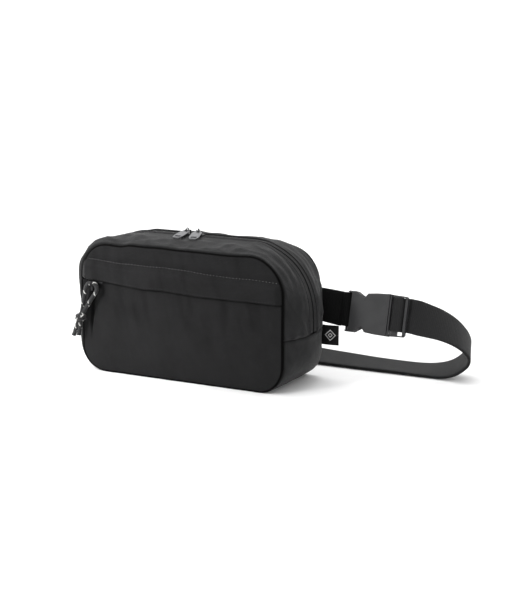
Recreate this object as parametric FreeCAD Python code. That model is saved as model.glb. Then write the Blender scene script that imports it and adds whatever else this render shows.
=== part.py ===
import FreeCAD, Part
import math
import os

# Waist bag with a quick-release belt. Millimetres, +Z up, front of the bag towards -Y.
# The origin is the middle of the flat bottom. The belt leaves the rear seams at +X and -X.

V = FreeCAD.Vector
BIG = 400.0  # larger than anything here

# Bag body
BAG_WIDTH = 217.0
BAG_HEIGHT = 126.5
BAG_DEPTH = 81.5
TOP_CORNER = 33.4
BOTTOM_CORNER = 25.0
SIDE_BULGE = 12.0
TOP_BULGE = 8.5
TOP_CORNER_GROWTH = 34.6
BOTTOM_CORNER_GROWTH = 15.0
FABRIC = 1.1
SEAM_Z = 51.0
BASE_HALF_LENGTH = 80.0

# Seams
WELT_WIDTH = 2.2
WELT_OUT = 1.0
WELT_IN = 1.2
PANEL_HALF = 0.5
PADDING_THICK = 4.0
PADDING_INSET = 7.3
BINDING_TALL = 3.2
BINDING_THICK = 2.0
BINDING_FROM_SEAM = 3.4

# Main zip, along the middle of the gusset
ZIP_OPENING_HALF = 6.4
TAPE_HALF = 9.0
TAPE_GAP_HALF = 0.8
TAPE_DEPTH = 1.7
TAPE_THICK = 0.6
COIL_WIDTH = 1.8
COIL_THICK = 1.5

# Front pocket
FLAP_THICK = 1.0
FLAP_STANDOFF = 2.7
FLAP_SEWN_Z = 106.0
FLAP_FREE_Z = 100.0
FLAP_CUT_Z = 80.0
FLAP_LOWER_EDGE = [(-108.5, 91.6), (-60.0, 86.4), (BIG, 83.2)]
POCKET_TOP_Z = 90.0
UPPER_PANEL_Z = 98.0
POCKET_ZIP_Z = 94.0
POCKET_TAPE_HALF_LENGTH = 97.5
POCKET_TAPE_WIDTH = 8.0
LINING_HALF_WIDTH = 102.0
LINING_DEPTH = 9.0
LINING_LOW = 5.0
LINING_HIGH = 106.0
LINING_LOW_CORNER = 20.0
LINING_HIGH_CORNER = 8.0

# Sliders and pulls
SLIDER_LENGTH = 10.8
SLIDER_PLATE = 1.1
SLIDER_GAP = 0.2
SLIDER_NOSE_HALF = 4.3
SLIDER_TAIL_HALF = 3.4
SLIDER_RIM = 0.6
POCKET_NOSE_HALF = 3.8
POST_HALF = 0.5
BAR_RADIUS = 0.5
BAR_RISE = 3.0
RING_RADIUS = 2.3
RING_WIRE = 0.45
RING_OFFSET = 1.2
TAB_THICK = 0.9
TAB_TILT = 9.5
SLIDERS_MEET_X = -7.4
SLIDER_SPACING = 5.9
RIGHT_TAB_YAW = 15.0

# Pocket pull
POCKET_SLIDER_X = -91.5
PIVOT_RADIUS = 0.9
PIVOT_CLEARANCE = 0.1
LINK_WIDTH = 4.6
LINK_THICK = 0.9
EYE_RADIUS = 2.65
EYE_WIRE = 0.45
EYE_Z = 87.4
EYE_STANDOFF = 7.6
NECK_LOW = 80.4
NECK_TALL = 1.5
NECK_HALF = 1.1
NECK_HALF_THICK = 0.6
CORD_DIAMETER = 4.0
KNOT_RADIUS = 5.2

# Belt and buckle. X runs along the buckle, from the ears of its housing to the end of its male half.
WEBBING_WIDTH = 32.0
WEBBING_THICK = 1.4
WEBBING_LIFT = 1.6
LAYER_SPACING = 1.8
SEAM_WEBBING_Z = 70.2
BUCKLE_LEAN = 15.0
BUCKLE_Y = 44.5
BUCKLE_Z = 65.4
SLOT_HALF = 17.8
BAR_HALF_THICK = 2.0
HOUSING_LEFT = 133.8
HOUSING_MOUTH = 176.5
HOUSING_HALF_THICK = 5.5
HOUSING_SLOT = (135.9, 138.3)
CAVITY_START = 146.3
CAVITY_HALF_THICK = 3.1
EAR_HALF = 19.3
WAIST_HALF = 14.4
BODY_HALF = 19.8
CAVITY_HALF = 17.4
FRAME_END = 193.5
FRAME_HALF_THICK = 2.6
SHOULDER_START = 176.9
SHOULDER_END = 178.1
FRAME_SLOTS = [(178.1, 180.6), (185.4, 191.2)]
TONGUE_HALF = 4.5
TONGUE_TIP_X = 153.0
PRONG_PIVOT_X = 175.5
PRONG_PIVOT_V = 14.4
PRONG_ROOT = 1.3
PRONG_OUTER = 17.1
PRONG_TIP_X = 151.3
PRONG_HALF_THICK = 2.7

# Label tag
TAG_WIDTH = 16.8
TAG_LOW = 31.5
TAG_HIGH = 50.6
TAG_THICK = 1.2

# The pull cord's two strands hang from the pocket slider's eye. Both leave the eye at the same point.
CORD_Y = -BAG_DEPTH / 2 - EYE_STANDOFF
OUTER_STRAND = [
    (POCKET_SLIDER_X, CORD_Y, EYE_Z),
    (-94.3, CORD_Y, EYE_Z),
    (-96.7, CORD_Y, 86.0),
    (-98.9, -48.2, 82.0),
    (-100.6, -47.9, 75.8),
    (-102.4, -47.7, 68.8),
    (-103.1, -47.9, 61.6),
    (-105.2, -48.2, 54.4),
    (-108.9, -48.0, 47.4),
    (-111.5, -48.3, 40.8),
    (-113.8, -48.1, 34.4),
]
INNER_STRAND = [
    (POCKET_SLIDER_X, CORD_Y, EYE_Z),
    (-89.3, CORD_Y, EYE_Z),
    (-87.4, CORD_Y, 86.3),
    (-86.2, CORD_Y, 84.5),
    (-86.0, -48.2, 82.3),
    (-87.3, -48.1, 79.0),
    (-90.2, -48.0, 75.5),
    (-94.0, -47.8, 69.9),
    (-99.0, -47.9, 63.2),
    (-104.0, -48.1, 55.6),
    (-105.8, -47.9, 48.0),
    (-106.7, -48.2, 41.4),
    (-108.5, -48.0, 35.2),
]
KNOT_CENTRE = (-105.5, -48.0, 53.0)

# The belt's middle surface, from the buckle round the right end and behind the bag to the left rear
# seam: x, y, z, the lean of its cross line from +Z towards +Y, and that line's swing towards +X.
BELT_RIGHT = [
    (194.9, 49.1, 65.8, 15.0, 0.0),
    (201.0, 49.5, 65.0, 17.5, -0.8),
    (209.2, 53.3, 62.3, 30.0, -5.0),
    (220.2, 60.6, 57.8, 42.0, -9.5),
    (229.6, 68.5, 51.4, 49.5, -13.5),
    (236.5, 76.4, 43.4, 54.5, -17.5),
    (239.8, 83.6, 35.0, 58.0, -19.0),
    (238.6, 89.2, 26.3, 62.0, -16.5),
    (232.6, 92.4, 17.9, 65.0, -12.0),
    (223.6, 93.9, 10.8, 69.0, -8.5),
    (211.9, 94.4, 6.3, 75.0, -4.8),
    (198.4, 94.4, 4.4, 81.0, -2.0),
    (183.9, 94.2, 3.7, 84.0, 0.0),
    (168.7, 94.1, 3.6, 85.0, 0.0),
    (140.0, 93.5, 3.7, 84.0, 0.0),
    (110.0, 93.0, 4.4, 82.0, 0.0),
    (80.0, 93.0, 5.2, 80.0, 0.0),
    (50.0, 92.8, 6.6, 77.0, 0.0),
]
BELT_BEHIND = [
    (28.0, 92.4, 8.3, 74.0, 0.0),
    (6.0, 91.6, 10.7, 70.5, 0.0),
]
BELT_LEFT = [
    (3.0, 91.5, 11.1, 70.0, 0.0),
    (-10.0, 91.0, 13.0, 67.0, 0.0),
    (-38.0, 89.0, 18.5, 60.0, 0.0),
    (-64.0, 85.0, 26.0, 51.0, 0.0),
    (-88.0, 79.0, 35.0, 41.0, 0.0),
    (-107.0, 71.0, 45.0, 31.0, 0.0),
    (-120.0, 61.0, 55.0, 21.0, 0.0),
    (-124.2, 51.5, 63.8, 12.0, 0.0),
    (-119.8, 44.9, 68.4, 5.0, 0.0),
    (-109.6, 42.0, 69.0, 0.0, 0.0),
]


def box(low, high):
    """The box between two opposite corners."""
    return Part.makeBox(high[0] - low[0], high[1] - low[1], high[2] - low[2], V(*low))


def polygon(points):
    """A closed wire through 3-D points."""
    ends = [V(*p) for p in points]
    return Part.makePolygon(ends + ends[:1])


def prism(points, direction):
    """A flat polygon pushed along a vector."""
    return Part.Face(polygon(points)).extrude(V(*direction))


def rounded_wire(half_width, low, high, low_radius, high_radius, y):
    """A rectangle with round corners in the plane at y: four lines and four arcs, from the bottom left."""
    def arc(cx, cz, radius, start):
        angles = [math.radians(start + step) for step in (0.0, 45.0, 90.0)]
        on_arc = [V(cx + radius * math.cos(a), y, cz + radius * math.sin(a)) for a in angles]
        return Part.Arc(*on_arc).toShape()

    def line(x0, z0, x1, z1):
        return Part.LineSegment(V(x0, y, z0), V(x1, y, z1)).toShape()

    w = half_width
    return Part.Wire([
        line(-w + low_radius, low, w - low_radius, low),
        arc(w - low_radius, low + low_radius, low_radius, 270.0),
        line(w, low + low_radius, w, high - high_radius),
        arc(w - high_radius, high - high_radius, high_radius, 0.0),
        line(w - high_radius, high, -w + high_radius, high),
        arc(-w + high_radius, high - high_radius, high_radius, 90.0),
        line(-w, high - high_radius, -w, low + low_radius),
        arc(-w + low_radius, low + low_radius, low_radius, 180.0),
    ])


def bag_wire(y, inset=0.0, shape_y=None):
    """The bag's outline in the plane at y, drawn in by inset. It is fullest at mid-depth. The outline's
    shape comes from shape_y where that isn't y, so that a straight band can follow one section."""
    place = y if shape_y is None else shape_y
    fullness = 1 - (place / (BAG_DEPTH / 2)) ** 2
    return rounded_wire(
        BAG_WIDTH / 2 + SIDE_BULGE * fullness - inset,
        inset,
        BAG_HEIGHT + TOP_BULGE * fullness - inset,
        BOTTOM_CORNER + BOTTOM_CORNER_GROWTH * fullness - inset,
        TOP_CORNER + TOP_CORNER_GROWTH * fullness - inset,
        y,
    )


def straight_band(y0, y1, outer, inner, shape_y):
    """A closed band between two insets of one section of the bag."""
    def solid(inset):
        return Part.Face(bag_wire(y0, inset, shape_y)).extrude(V(0, y1 - y0, 0))
    return solid(outer).cut(solid(inner))


def bag_loft(half_depth, inset):
    """The bag's whole form between two depths, as one smooth solid."""
    steps = 8
    places = [half_depth * (2 * i / steps - 1) for i in range(steps + 1)]
    return Part.makeLoft([bag_wire(y, inset) for y in places], True, False)


def outline_plate(y0, y1, inset):
    """A flat plate with the seam's outline."""
    return Part.Face(bag_wire(y0, inset, BAG_DEPTH / 2)).extrude(V(0, y1 - y0, 0))


def slab(low_z, high_z, low_y=-BIG, high_y=BIG, low_x=-BIG, high_x=BIG):
    """A large box that keeps what lies between these limits."""
    return box((low_x, low_y, low_z), (high_x, high_y, high_z))


def gusset():
    """The strip that joins front and back: two strips beside the main zip and one below the side seams.
    The bottom is one flat plate between the lower corners."""
    half = BAG_DEPTH / 2
    shell = bag_loft(half - WELT_IN, 0.0).cut(bag_loft(half, FABRIC))
    upper = slab(SEAM_Z, BIG)
    lower = shell.common(slab(-1.0, SEAM_Z))
    end = BASE_HALF_LENGTH
    edge = half - WELT_IN
    lower = lower.cut(box((-end, -half, -1), (end, half, SEAM_Z)))
    base = box((-end, -edge, 0), (end, edge, FABRIC))
    return {
        "gusset_top_front": shell.common(upper).common(slab(0, BIG, -BIG, -ZIP_OPENING_HALF)),
        "gusset_top_rear": shell.common(upper).common(slab(0, BIG, ZIP_OPENING_HALF, BIG)),
        "gusset_bottom": lower.fuse(base).removeSplitter(),
    }


def seams():
    """The raised seam round each panel, and the bound seam allowance inside it."""
    nodes = {}
    half = BAG_DEPTH / 2
    for name, side in (("front", -1), ("rear", 1)):
        outer_y = side * (half + WELT_OUT)
        inner_y = side * (half - WELT_IN)
        ring = straight_band(outer_y, inner_y, 0.0, WELT_WIDTH, half)
        nodes["seam_welt_" + name] = ring
        start = side * (half - BINDING_FROM_SEAM)
        end = start - side * BINDING_THICK
        edge = FABRIC + 0.2
        nodes["seam_binding_" + name] = straight_band(start, end, edge, edge + BINDING_TALL, half)
    return nodes


def panels():
    """The flat front in two pieces, the storm flap over the gap between them, and the back."""
    half = BAG_DEPTH / 2
    front = outline_plate(-half - PANEL_HALF, -half + PANEL_HALF, WELT_WIDTH)
    back = outline_plate(half - PANEL_HALF, half + PANEL_HALF, WELT_WIDTH)
    padding_back = half - PANEL_HALF - 0.1
    face = -half - PANEL_HALF
    outside = face - FLAP_STANDOFF - FLAP_THICK
    profile = [
        (outside, FLAP_CUT_Z),
        (outside, FLAP_FREE_Z),
        (face - FLAP_THICK, FLAP_SEWN_Z),
        (face, FLAP_SEWN_Z),
        (face, FLAP_SEWN_Z - 1.5),
        (outside + FLAP_THICK, FLAP_FREE_Z - 0.5),
        (outside + FLAP_THICK, FLAP_CUT_Z),
    ]
    reach = BAG_WIDTH / 2
    strip = prism([(-reach, y, z) for y, z in profile], (2 * reach, 0, 0))
    trim = outline_plate(-half - 20.0, -half, WELT_WIDTH)
    edge = [(-BIG, 0.0), (BIG, 0.0)] + list(reversed(FLAP_LOWER_EDGE)) + [(-BIG, FLAP_LOWER_EDGE[0][1])]
    below = prism([(x, -BIG, z) for x, z in edge], (0, 2 * BIG, 0))
    return {
        "front_upper_panel": front.common(slab(UPPER_PANEL_Z, BIG)),
        "front_pocket_panel": front.common(slab(0, POCKET_TOP_Z)),
        "storm_flap": strip.common(trim).cut(below),
        "back_panel": back,
        "back_padding": outline_plate(padding_back - PADDING_THICK, padding_back, PADDING_INSET),
    }


def pocket_lining():
    """The pocket's rear wall: a shallow tray with its open side on the front panels."""
    front = -BAG_DEPTH / 2 + PANEL_HALF + 0.05

    def tray(inset, depth):
        wire = rounded_wire(
            LINING_HALF_WIDTH - inset,
            LINING_LOW + inset,
            LINING_HIGH - inset,
            LINING_LOW_CORNER - inset,
            LINING_HIGH_CORNER - inset,
            front,
        )
        return Part.Face(wire).extrude(V(0, depth, 0))
    return tray(0.0, LINING_DEPTH).cut(tray(FABRIC, LINING_DEPTH - FABRIC))


def pocket_zip():
    """Two tapes and two coils behind the gap between the front panels."""
    nodes = {}
    front = -BAG_DEPTH / 2 + PANEL_HALF + 0.1
    back = front + TAPE_THICK
    length = POCKET_TAPE_HALF_LENGTH
    coils = []
    for name, side in (("upper", 1), ("lower", -1)):
        edges = sorted([POCKET_ZIP_Z + side * TAPE_GAP_HALF, POCKET_ZIP_Z + side * POCKET_TAPE_WIDTH])
        nodes["pocket_zip_tape_" + name] = box((-length, front, edges[0]), (length, back, edges[1]))
        rows = sorted(POCKET_ZIP_Z + side * reach for reach in (TAPE_GAP_HALF, TAPE_GAP_HALF + COIL_WIDTH))
        coils.append(box((-length, back, rows[0]), (length, back + COIL_THICK, rows[1])))
    nodes["pocket_zip_coil"] = Part.makeCompound(coils)
    return nodes


def main_zip():
    """Tapes and coils along the section at mid-depth, down to the side seams, with a tab over each end."""
    nodes = {}
    keep = slab(SEAM_Z + 1.0, BIG)
    inner = TAPE_DEPTH + TAPE_THICK
    for name, side in (("front", -1), ("rear", 1)):
        tape = sorted([side * TAPE_GAP_HALF, side * TAPE_HALF])
        coil = sorted([side * TAPE_GAP_HALF, side * (TAPE_GAP_HALF + COIL_WIDTH)])
        tape_band = straight_band(tape[0], tape[1], TAPE_DEPTH, inner, 0.0)
        coil_band = straight_band(coil[0], coil[1], inner, inner + COIL_THICK, 0.0)
        nodes["main_zip_tape_" + name] = tape_band.common(keep)
        nodes["main_zip_coil_" + name] = coil_band.common(keep)
    tab_outer = inner + COIL_THICK + 0.1
    tab_band = straight_band(-TAPE_HALF, TAPE_HALF, tab_outer, tab_outer + FABRIC, 0.0)
    tab_slab = (SEAM_Z + 1.0, SEAM_Z + 9.0)
    nodes["zip_end_tab_left"] = tab_band.common(slab(*tab_slab, high_x=0))
    nodes["zip_end_tab_right"] = tab_band.common(slab(*tab_slab, low_x=0))
    return nodes


def slider_body(nose_half, tail_half):
    """A zip slider about its own middle: +X is the nose, z = 0 is the tape's outer face."""
    half = SLIDER_LENGTH / 2
    under = -TAPE_THICK - COIL_THICK - SLIDER_GAP
    plan = [(-half, -tail_half), (0.6, -nose_half), (half, -nose_half + 0.9)]
    plan = plan + [(x, -y) for x, y in reversed(plan)]

    def plate(low, high, corner):
        solid = prism([(x, y, low) for x, y in plan], (0, 0, high - low))
        upright = [e for e in solid.Edges if abs(e.BoundBox.ZLength - (high - low)) < 0.01]
        return solid.makeFillet(corner, upright)
    top = plate(SLIDER_GAP, SLIDER_GAP + SLIDER_PLATE, 1.2)
    lip = 0.25
    top = top.makeChamfer(lip, [e for e in top.Edges if e.BoundBox.ZMin > SLIDER_GAP + SLIDER_PLATE - 0.01])
    bottom = plate(under - SLIDER_PLATE, under, 1.2)
    post = box((0.6, -POST_HALF, under - 0.2), (half - 0.6, POST_HALF, SLIDER_GAP + 0.2))
    rims = []
    for side in (-1, 1):
        rails = sorted([side * tail_half, side * (tail_half - SLIDER_RIM)])
        low = (-half + 1.4, rails[0], under - 0.2)
        rims.append(box(low, (half - 1.4, rails[1], -TAPE_THICK - SLIDER_GAP)))
    return top.fuse([bottom, post] + rims).removeSplitter()


def bridged_slider():
    """A main slider: the body with a bar on two feet along its travel, for the pull's ring."""
    top = SLIDER_GAP + SLIDER_PLATE
    foot_low, foot_high = 2.15, 3.1
    foot_half = 0.6
    bar = Part.makeCylinder(BAR_RADIUS, 2 * foot_high, V(-foot_high, 0, top + BAR_RISE), V(1, 0, 0))
    feet = []
    for side in (-1, 1):
        xs = sorted([side * foot_low, side * foot_high])
        foot_top = top + BAR_RISE + BAR_RADIUS * 0.7
        feet.append(box((xs[0], -foot_half, top - 0.1), (xs[1], foot_half, foot_top)))
    return slider_body(SLIDER_NOSE_HALF, SLIDER_TAIL_HALF).fuse([bar] + feet).removeSplitter()


def pull_ring():
    """A wire ring round the bar, which lies at the origin along X. The ring reaches towards -Y."""
    return Part.makeTorus(RING_RADIUS, RING_WIRE, V(0, -RING_OFFSET, 0), V(1, 0, 0))


def pull_tab():
    """The flat tab that hangs on the ring: it widens to its tip and has a slot at each end."""
    inner_edge = RING_OFFSET + 0.4
    half_plan = [(2.6, -inner_edge), (4.7, -6.2), (4.9, -17.6), (4.0, -22.2), (3.0, -23.4)]
    plan = [(-x, y) for x, y in half_plan] + list(reversed(half_plan))
    low = -TAB_THICK / 2
    tab = prism([(x, y, low) for x, y in plan], (0, 0, TAB_THICK))
    upright = [e for e in tab.Edges if abs(e.BoundBox.ZLength - TAB_THICK) < 0.01]
    tab = tab.makeFillet(0.7, upright)
    root_bar = 1.15
    root_slot = box((-1.7, -6.0, -1), (1.7, -inner_edge - root_bar, 1))
    tip_slot = box((-2.9, -21.2, -1), (2.9, -17.9, 1))
    return tab.cut(root_slot).cut(tip_slot)


def main_sliders():
    """Two sliders that meet nose to nose, each with its ring and its tab lying over the front."""
    nodes = {}
    tape_face = BAG_HEIGHT + TOP_BULGE - TAPE_DEPTH
    bar_z = tape_face + SLIDER_GAP + SLIDER_PLATE + BAR_RISE
    for name, side, yaw in (("left", -1, 0.0), ("right", 1, RIGHT_TAB_YAW)):
        x = SLIDERS_MEET_X + side * SLIDER_SPACING
        slider = bridged_slider()
        if side > 0:
            slider.rotate(V(0, 0, 0), V(0, 0, 1), 180.0)
        slider.translate(V(x, 0, tape_face))
        nodes["main_slider_" + name] = slider
        for piece, shape in (("pull_ring_", pull_ring()), ("pull_tab_", pull_tab())):
            shape.rotate(V(0, 0, 0), V(1, 0, 0), TAB_TILT)
            shape.rotate(V(0, 0, 0), V(0, 0, 1), yaw)
            shape.translate(V(x, 0, bar_z))
            nodes[piece + name] = shape
    return nodes


def pocket_slider():
    """The pocket zip's slider with a headed pin, and the link that swings on the pin and ends in an eye."""
    tape_face = -BAG_DEPTH / 2 + PANEL_HALF + 0.1
    body = slider_body(POCKET_NOSE_HALF, SLIDER_TAIL_HALF)
    body.rotate(V(0, 0, 0), V(1, 0, 0), 90.0)
    body.translate(V(POCKET_SLIDER_X, tape_face, POCKET_ZIP_Z))
    plate_face = tape_face - SLIDER_GAP - SLIDER_PLATE
    link_back = plate_face - 0.3
    link_face = link_back - LINK_THICK
    head_thick = 0.6
    out = V(0, -1, 0)
    centre = V(POCKET_SLIDER_X, plate_face + 0.1, POCKET_ZIP_Z)
    pin = Part.makeCylinder(PIVOT_RADIUS, plate_face + 0.1 - link_face + 0.2, centre, out)
    head = Part.makeCylinder(PIVOT_RADIUS + 0.7, head_thick, V(centre.x, link_face - 0.15, centre.z), out)
    eye_y = -BAG_DEPTH / 2 - EYE_STANDOFF
    ring_low = EYE_Z - EYE_RADIUS + 0.2
    w = LINK_WIDTH / 2
    x = POCKET_SLIDER_X
    plate = box((x - w, link_face, NECK_LOW), (x + w, link_back, POCKET_ZIP_Z))
    crown = Part.makeCylinder(w, LINK_THICK, V(x, link_back, POCKET_ZIP_Z), out)
    hole = Part.makeCylinder(PIVOT_RADIUS + PIVOT_CLEARANCE, 4.0, V(x, link_back + 1, POCKET_ZIP_Z), out)
    front = eye_y - NECK_HALF_THICK
    neck = box((x - NECK_HALF, front, NECK_LOW), (x + NECK_HALF, link_face + 0.1, NECK_LOW + NECK_TALL))
    riser = box((x - NECK_HALF, front, NECK_LOW), (x + NECK_HALF, eye_y + NECK_HALF_THICK, ring_low))
    eye = Part.makeTorus(EYE_RADIUS, EYE_WIRE, V(x, eye_y, EYE_Z), V(1, 0, 0))
    link = plate.fuse([crown, neck, riser, eye]).cut(hole)
    return {"pocket_slider": body.fuse([pin, head]), "pocket_pull_link": link}


def arc_path(points):
    """A wire of straight runs joined by tangent arcs, and the arcs' radii. Each radius is 0.45 of the
    shorter run at its point, over the tangent of half the turn."""
    places = [V(*p) for p in points]
    edges = []
    radii = []
    start = places[0]
    for before, at, after in zip(places, places[1:], places[2:]):
        into = at - before
        out = after - at
        half_turn = into.getAngle(out) / 2
        cut = 0.45 * min(into.Length, out.Length)
        radius = cut / math.tan(half_turn)
        into.normalize()
        out.normalize()
        first = at - into * cut
        last = at + out * cut
        bisector = out - into
        bisector.normalize()
        centre = at + bisector * (radius / math.cos(half_turn))
        middle = centre - bisector * radius
        edges.append(Part.LineSegment(start, first).toShape())
        edges.append(Part.Arc(first, middle, last).toShape())
        radii.append(radius)
        start = last
    edges.append(Part.LineSegment(start, places[-1]).toShape())
    return Part.Wire(edges), radii


def cord_tube(name, points):
    """A round cord along a route."""
    path, radii = arc_path(points)
    along = V(*points[1]) - V(*points[0])
    section = Part.Wire(Part.makeCircle(CORD_DIAMETER / 2, V(*points[0]), along))
    tube = path.makePipeShell([section], True, False)
    ideal = math.pi * CORD_DIAMETER ** 2 / 4 * path.Length
    print(name, "length", round(path.Length, 1), "radii", [round(r, 1) for r in radii])
    print(name, "volume", round(tube.Volume, 1), "section times length", round(ideal, 1))
    return tube


def pull_cord():
    """The two strands and the overhand knot that ties them together."""
    knot = Part.makeSphere(KNOT_RADIUS)
    squash = FreeCAD.Matrix()
    squash.scale(0.95, 0.92, 1.0)
    knot = knot.transformGeometry(squash)
    knot.translate(V(*KNOT_CENTRE))
    return {
        "pull_cord_outer": cord_tube("pull_cord_outer", OUTER_STRAND),
        "pull_cord_inner": cord_tube("pull_cord_inner", INNER_STRAND),
        "pull_cord_knot": knot,
    }


def buckle_place(shape):
    """From the buckle's own frame (X along the belt, Z across it, -Y its front) into the bag's."""
    shape.rotate(V(0, 0, 0), V(1, 0, 0), -BUCKLE_LEAN)
    shape.translate(V(0, BUCKLE_Y, BUCKLE_Z))
    return shape


def plan_solid(plan, half_thick):
    """An outline in the buckle's X-Z plane, as thick as stated on both sides of it."""
    return prism([(x, half_thick, z) for x, z in plan], (0, -2 * half_thick, 0))


def across_edges(shape, half_thick):
    """The edges that run through the whole thickness."""
    return [e for e in shape.Edges if abs(e.BoundBox.YLength - 2 * half_thick) < 0.01]


def webbing_slot(low, high, half_thick):
    """The space of one webbing slot, cut through a piece of a thickness."""
    return box((low, -half_thick, -SLOT_HALF), (high, half_thick, SLOT_HALF))


def thin_bar(body, low, high, half_thick):
    """Takes both faces of a bar down to the bars' own thickness between two places."""
    for near, far in ((BAR_HALF_THICK, half_thick), (-half_thick, -BAR_HALF_THICK)):
        body = body.cut(box((low, near, -SLOT_HALF), (high, far, SLOT_HALF)))
    return body


def mirrored_plan(upper):
    """An outline from its upper half."""
    return upper + [(x, -z) for x, z in reversed(upper)]


def buckle_housing():
    """The female half: ears with a webbing slot, a waist that bares the prong tips, and a wide mouth."""
    left, mouth = HOUSING_LEFT, HOUSING_MOUTH
    body = plan_solid(mirrored_plan([
        (left, EAR_HALF - 1.2), (left + 1.2, EAR_HALF), (left + 8.0, EAR_HALF),
        (left + 15.2, WAIST_HALF + 0.5), (left + 16.8, WAIST_HALF), (left + 18.2, WAIST_HALF + 1.0),
        (left + 20.4, BODY_HALF - 1.5), (left + 30.0, BODY_HALF - 0.5), (mouth, BODY_HALF),
    ]), HOUSING_HALF_THICK)
    faces = [e for e in body.Edges if e.BoundBox.YLength < 0.01 and e.BoundBox.XMin < mouth - 0.1]
    body = body.makeChamfer(1.1, faces)
    past = HOUSING_HALF_THICK + 1
    slot_left, slot_right = HOUSING_SLOT
    body = body.cut(webbing_slot(slot_left, slot_right, past))
    body = thin_bar(body, left - 1, slot_left + 0.1, past)
    cavity_low = (CAVITY_START, -CAVITY_HALF_THICK, -CAVITY_HALF)
    cavity = box(cavity_low, (mouth + 1, CAVITY_HALF_THICK, CAVITY_HALF))
    return buckle_place(body.cut(cavity))


def buckle_male():
    """The male half's frame: a shoulder at the mouth, a centre tongue, and a ladder of two slots."""
    shoulder_thick = 4.6
    shoulder = box(
        (SHOULDER_START, -shoulder_thick, -BODY_HALF + 0.4),
        (SHOULDER_END, shoulder_thick, BODY_HALF - 0.4),
    )
    shoulder = shoulder.makeChamfer(0.4, across_edges(shoulder, shoulder_thick))
    rails = [
        (SHOULDER_END - 0.2, BODY_HALF - 0.4), (FRAME_END - 2.0, BODY_HALF - 0.9),
        (FRAME_END, BODY_HALF - 2.6),
    ]
    frame = plan_solid(mirrored_plan(rails), FRAME_HALF_THICK)
    past = FRAME_HALF_THICK + 1
    for low, high in FRAME_SLOTS:
        frame = frame.cut(webbing_slot(low, high, past))
    frame = thin_bar(frame, FRAME_SLOTS[0][1] - 0.1, FRAME_SLOTS[1][0] + 0.1, past)
    frame = thin_bar(frame, FRAME_SLOTS[1][1] - 0.1, FRAME_END + 1, past)
    tip = TONGUE_TIP_X
    half = TONGUE_HALF
    tongue_plan = [(tip, half - 2.1), (tip + 4.0, half), (SHOULDER_START + 0.5, half)]
    tongue = plan_solid(mirrored_plan(tongue_plan), 2.4)
    return buckle_place(shoulder.fuse([frame, tongue]).removeSplitter())


def buckle_prong(side):
    """One sprung prong: a beam from its pivot beside the mouth to a broad tip in the waist."""
    x, v = PRONG_PIVOT_X, PRONG_PIVOT_V
    tip = PRONG_TIP_X
    outer = PRONG_OUTER
    plan = [
        (x, v + PRONG_ROOT), (tip + 12.0, outer - 0.9), (tip + 8.0, outer), (tip + 3.4, outer),
        (tip + 0.6, outer - 1.2), (tip, outer - 3.0), (tip + 1.2, outer - 4.8), (tip + 8.0, outer - 5.2),
        (tip + 12.0, outer - 3.8), (x, v - PRONG_ROOT),
    ]
    half = PRONG_HALF_THICK
    beam = plan_solid([(px, side * pz) for px, pz in plan], half)
    eye = Part.makeCylinder(PRONG_ROOT, 2 * half, V(x, half, side * v), V(0, -1, 0))
    return buckle_place(beam.fuse(eye).removeSplitter())


def thick_path(points, thickness):
    """The outline of a bent strip: its middle line's points, offset to both sides with mitred corners."""
    places = [FreeCAD.Vector(p[0], p[1], 0) for p in points]
    left, right = [], []
    for i, at in enumerate(places):
        normals = []
        for a, b in ((i - 1, i), (i, i + 1)):
            if a >= 0 and b < len(places):
                run = (places[b] - places[a]).normalize()
                normals.append(V(-run.y, run.x, 0))
        mean = normals[0] if len(normals) == 1 else (normals[0] + normals[1]).normalize()
        reach = thickness / 2 / mean.dot(normals[0])
        left.append(at + mean * reach)
        right.append(at - mean * reach)
    return [(p.x, p.y) for p in left + list(reversed(right))]


def webbing_profile(points):
    """A strip of webbing bent in the buckle's X-Y plane, at full width, a little above the buckle's middle."""
    low = WEBBING_LIFT - WEBBING_WIDTH / 2
    outline = thick_path(points, WEBBING_THICK)
    return buckle_place(prism([(x, y, low) for x, y in outline], (0, 0, WEBBING_WIDTH)))


def cross_section(centre, across, normal, half_width, half_thick):
    """A rectangle across a strip of webbing."""
    a = across * half_width
    n = normal * half_thick
    corners = [centre + a + n, centre - a + n, centre - a - n, centre + a - n]
    return Part.makePolygon(corners + corners[:1])


def ribbon(stations, offset, thickness=WEBBING_THICK):
    """Webbing along stations of x, y, z, lean and swing, moved outwards by offset."""
    centres = [V(*s[:3]) for s in stations]
    wires = []
    for i, station in enumerate(stations):
        lean, swing = math.radians(station[3]), math.radians(station[4])
        before = centres[max(i - 1, 0)]
        after = centres[min(i + 1, len(centres) - 1)]
        along = (after - before).normalize()
        across = V(math.sin(swing), math.cos(swing) * math.sin(lean), math.cos(swing) * math.cos(lean))
        normal = along.cross(across).normalize()
        across = normal.cross(along).normalize()
        middle = centres[i] + normal * offset
        wires.append(cross_section(middle, across, normal, WEBBING_WIDTH / 2, thickness / 2))
    return Part.makeLoft(wires, True, True)


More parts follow.
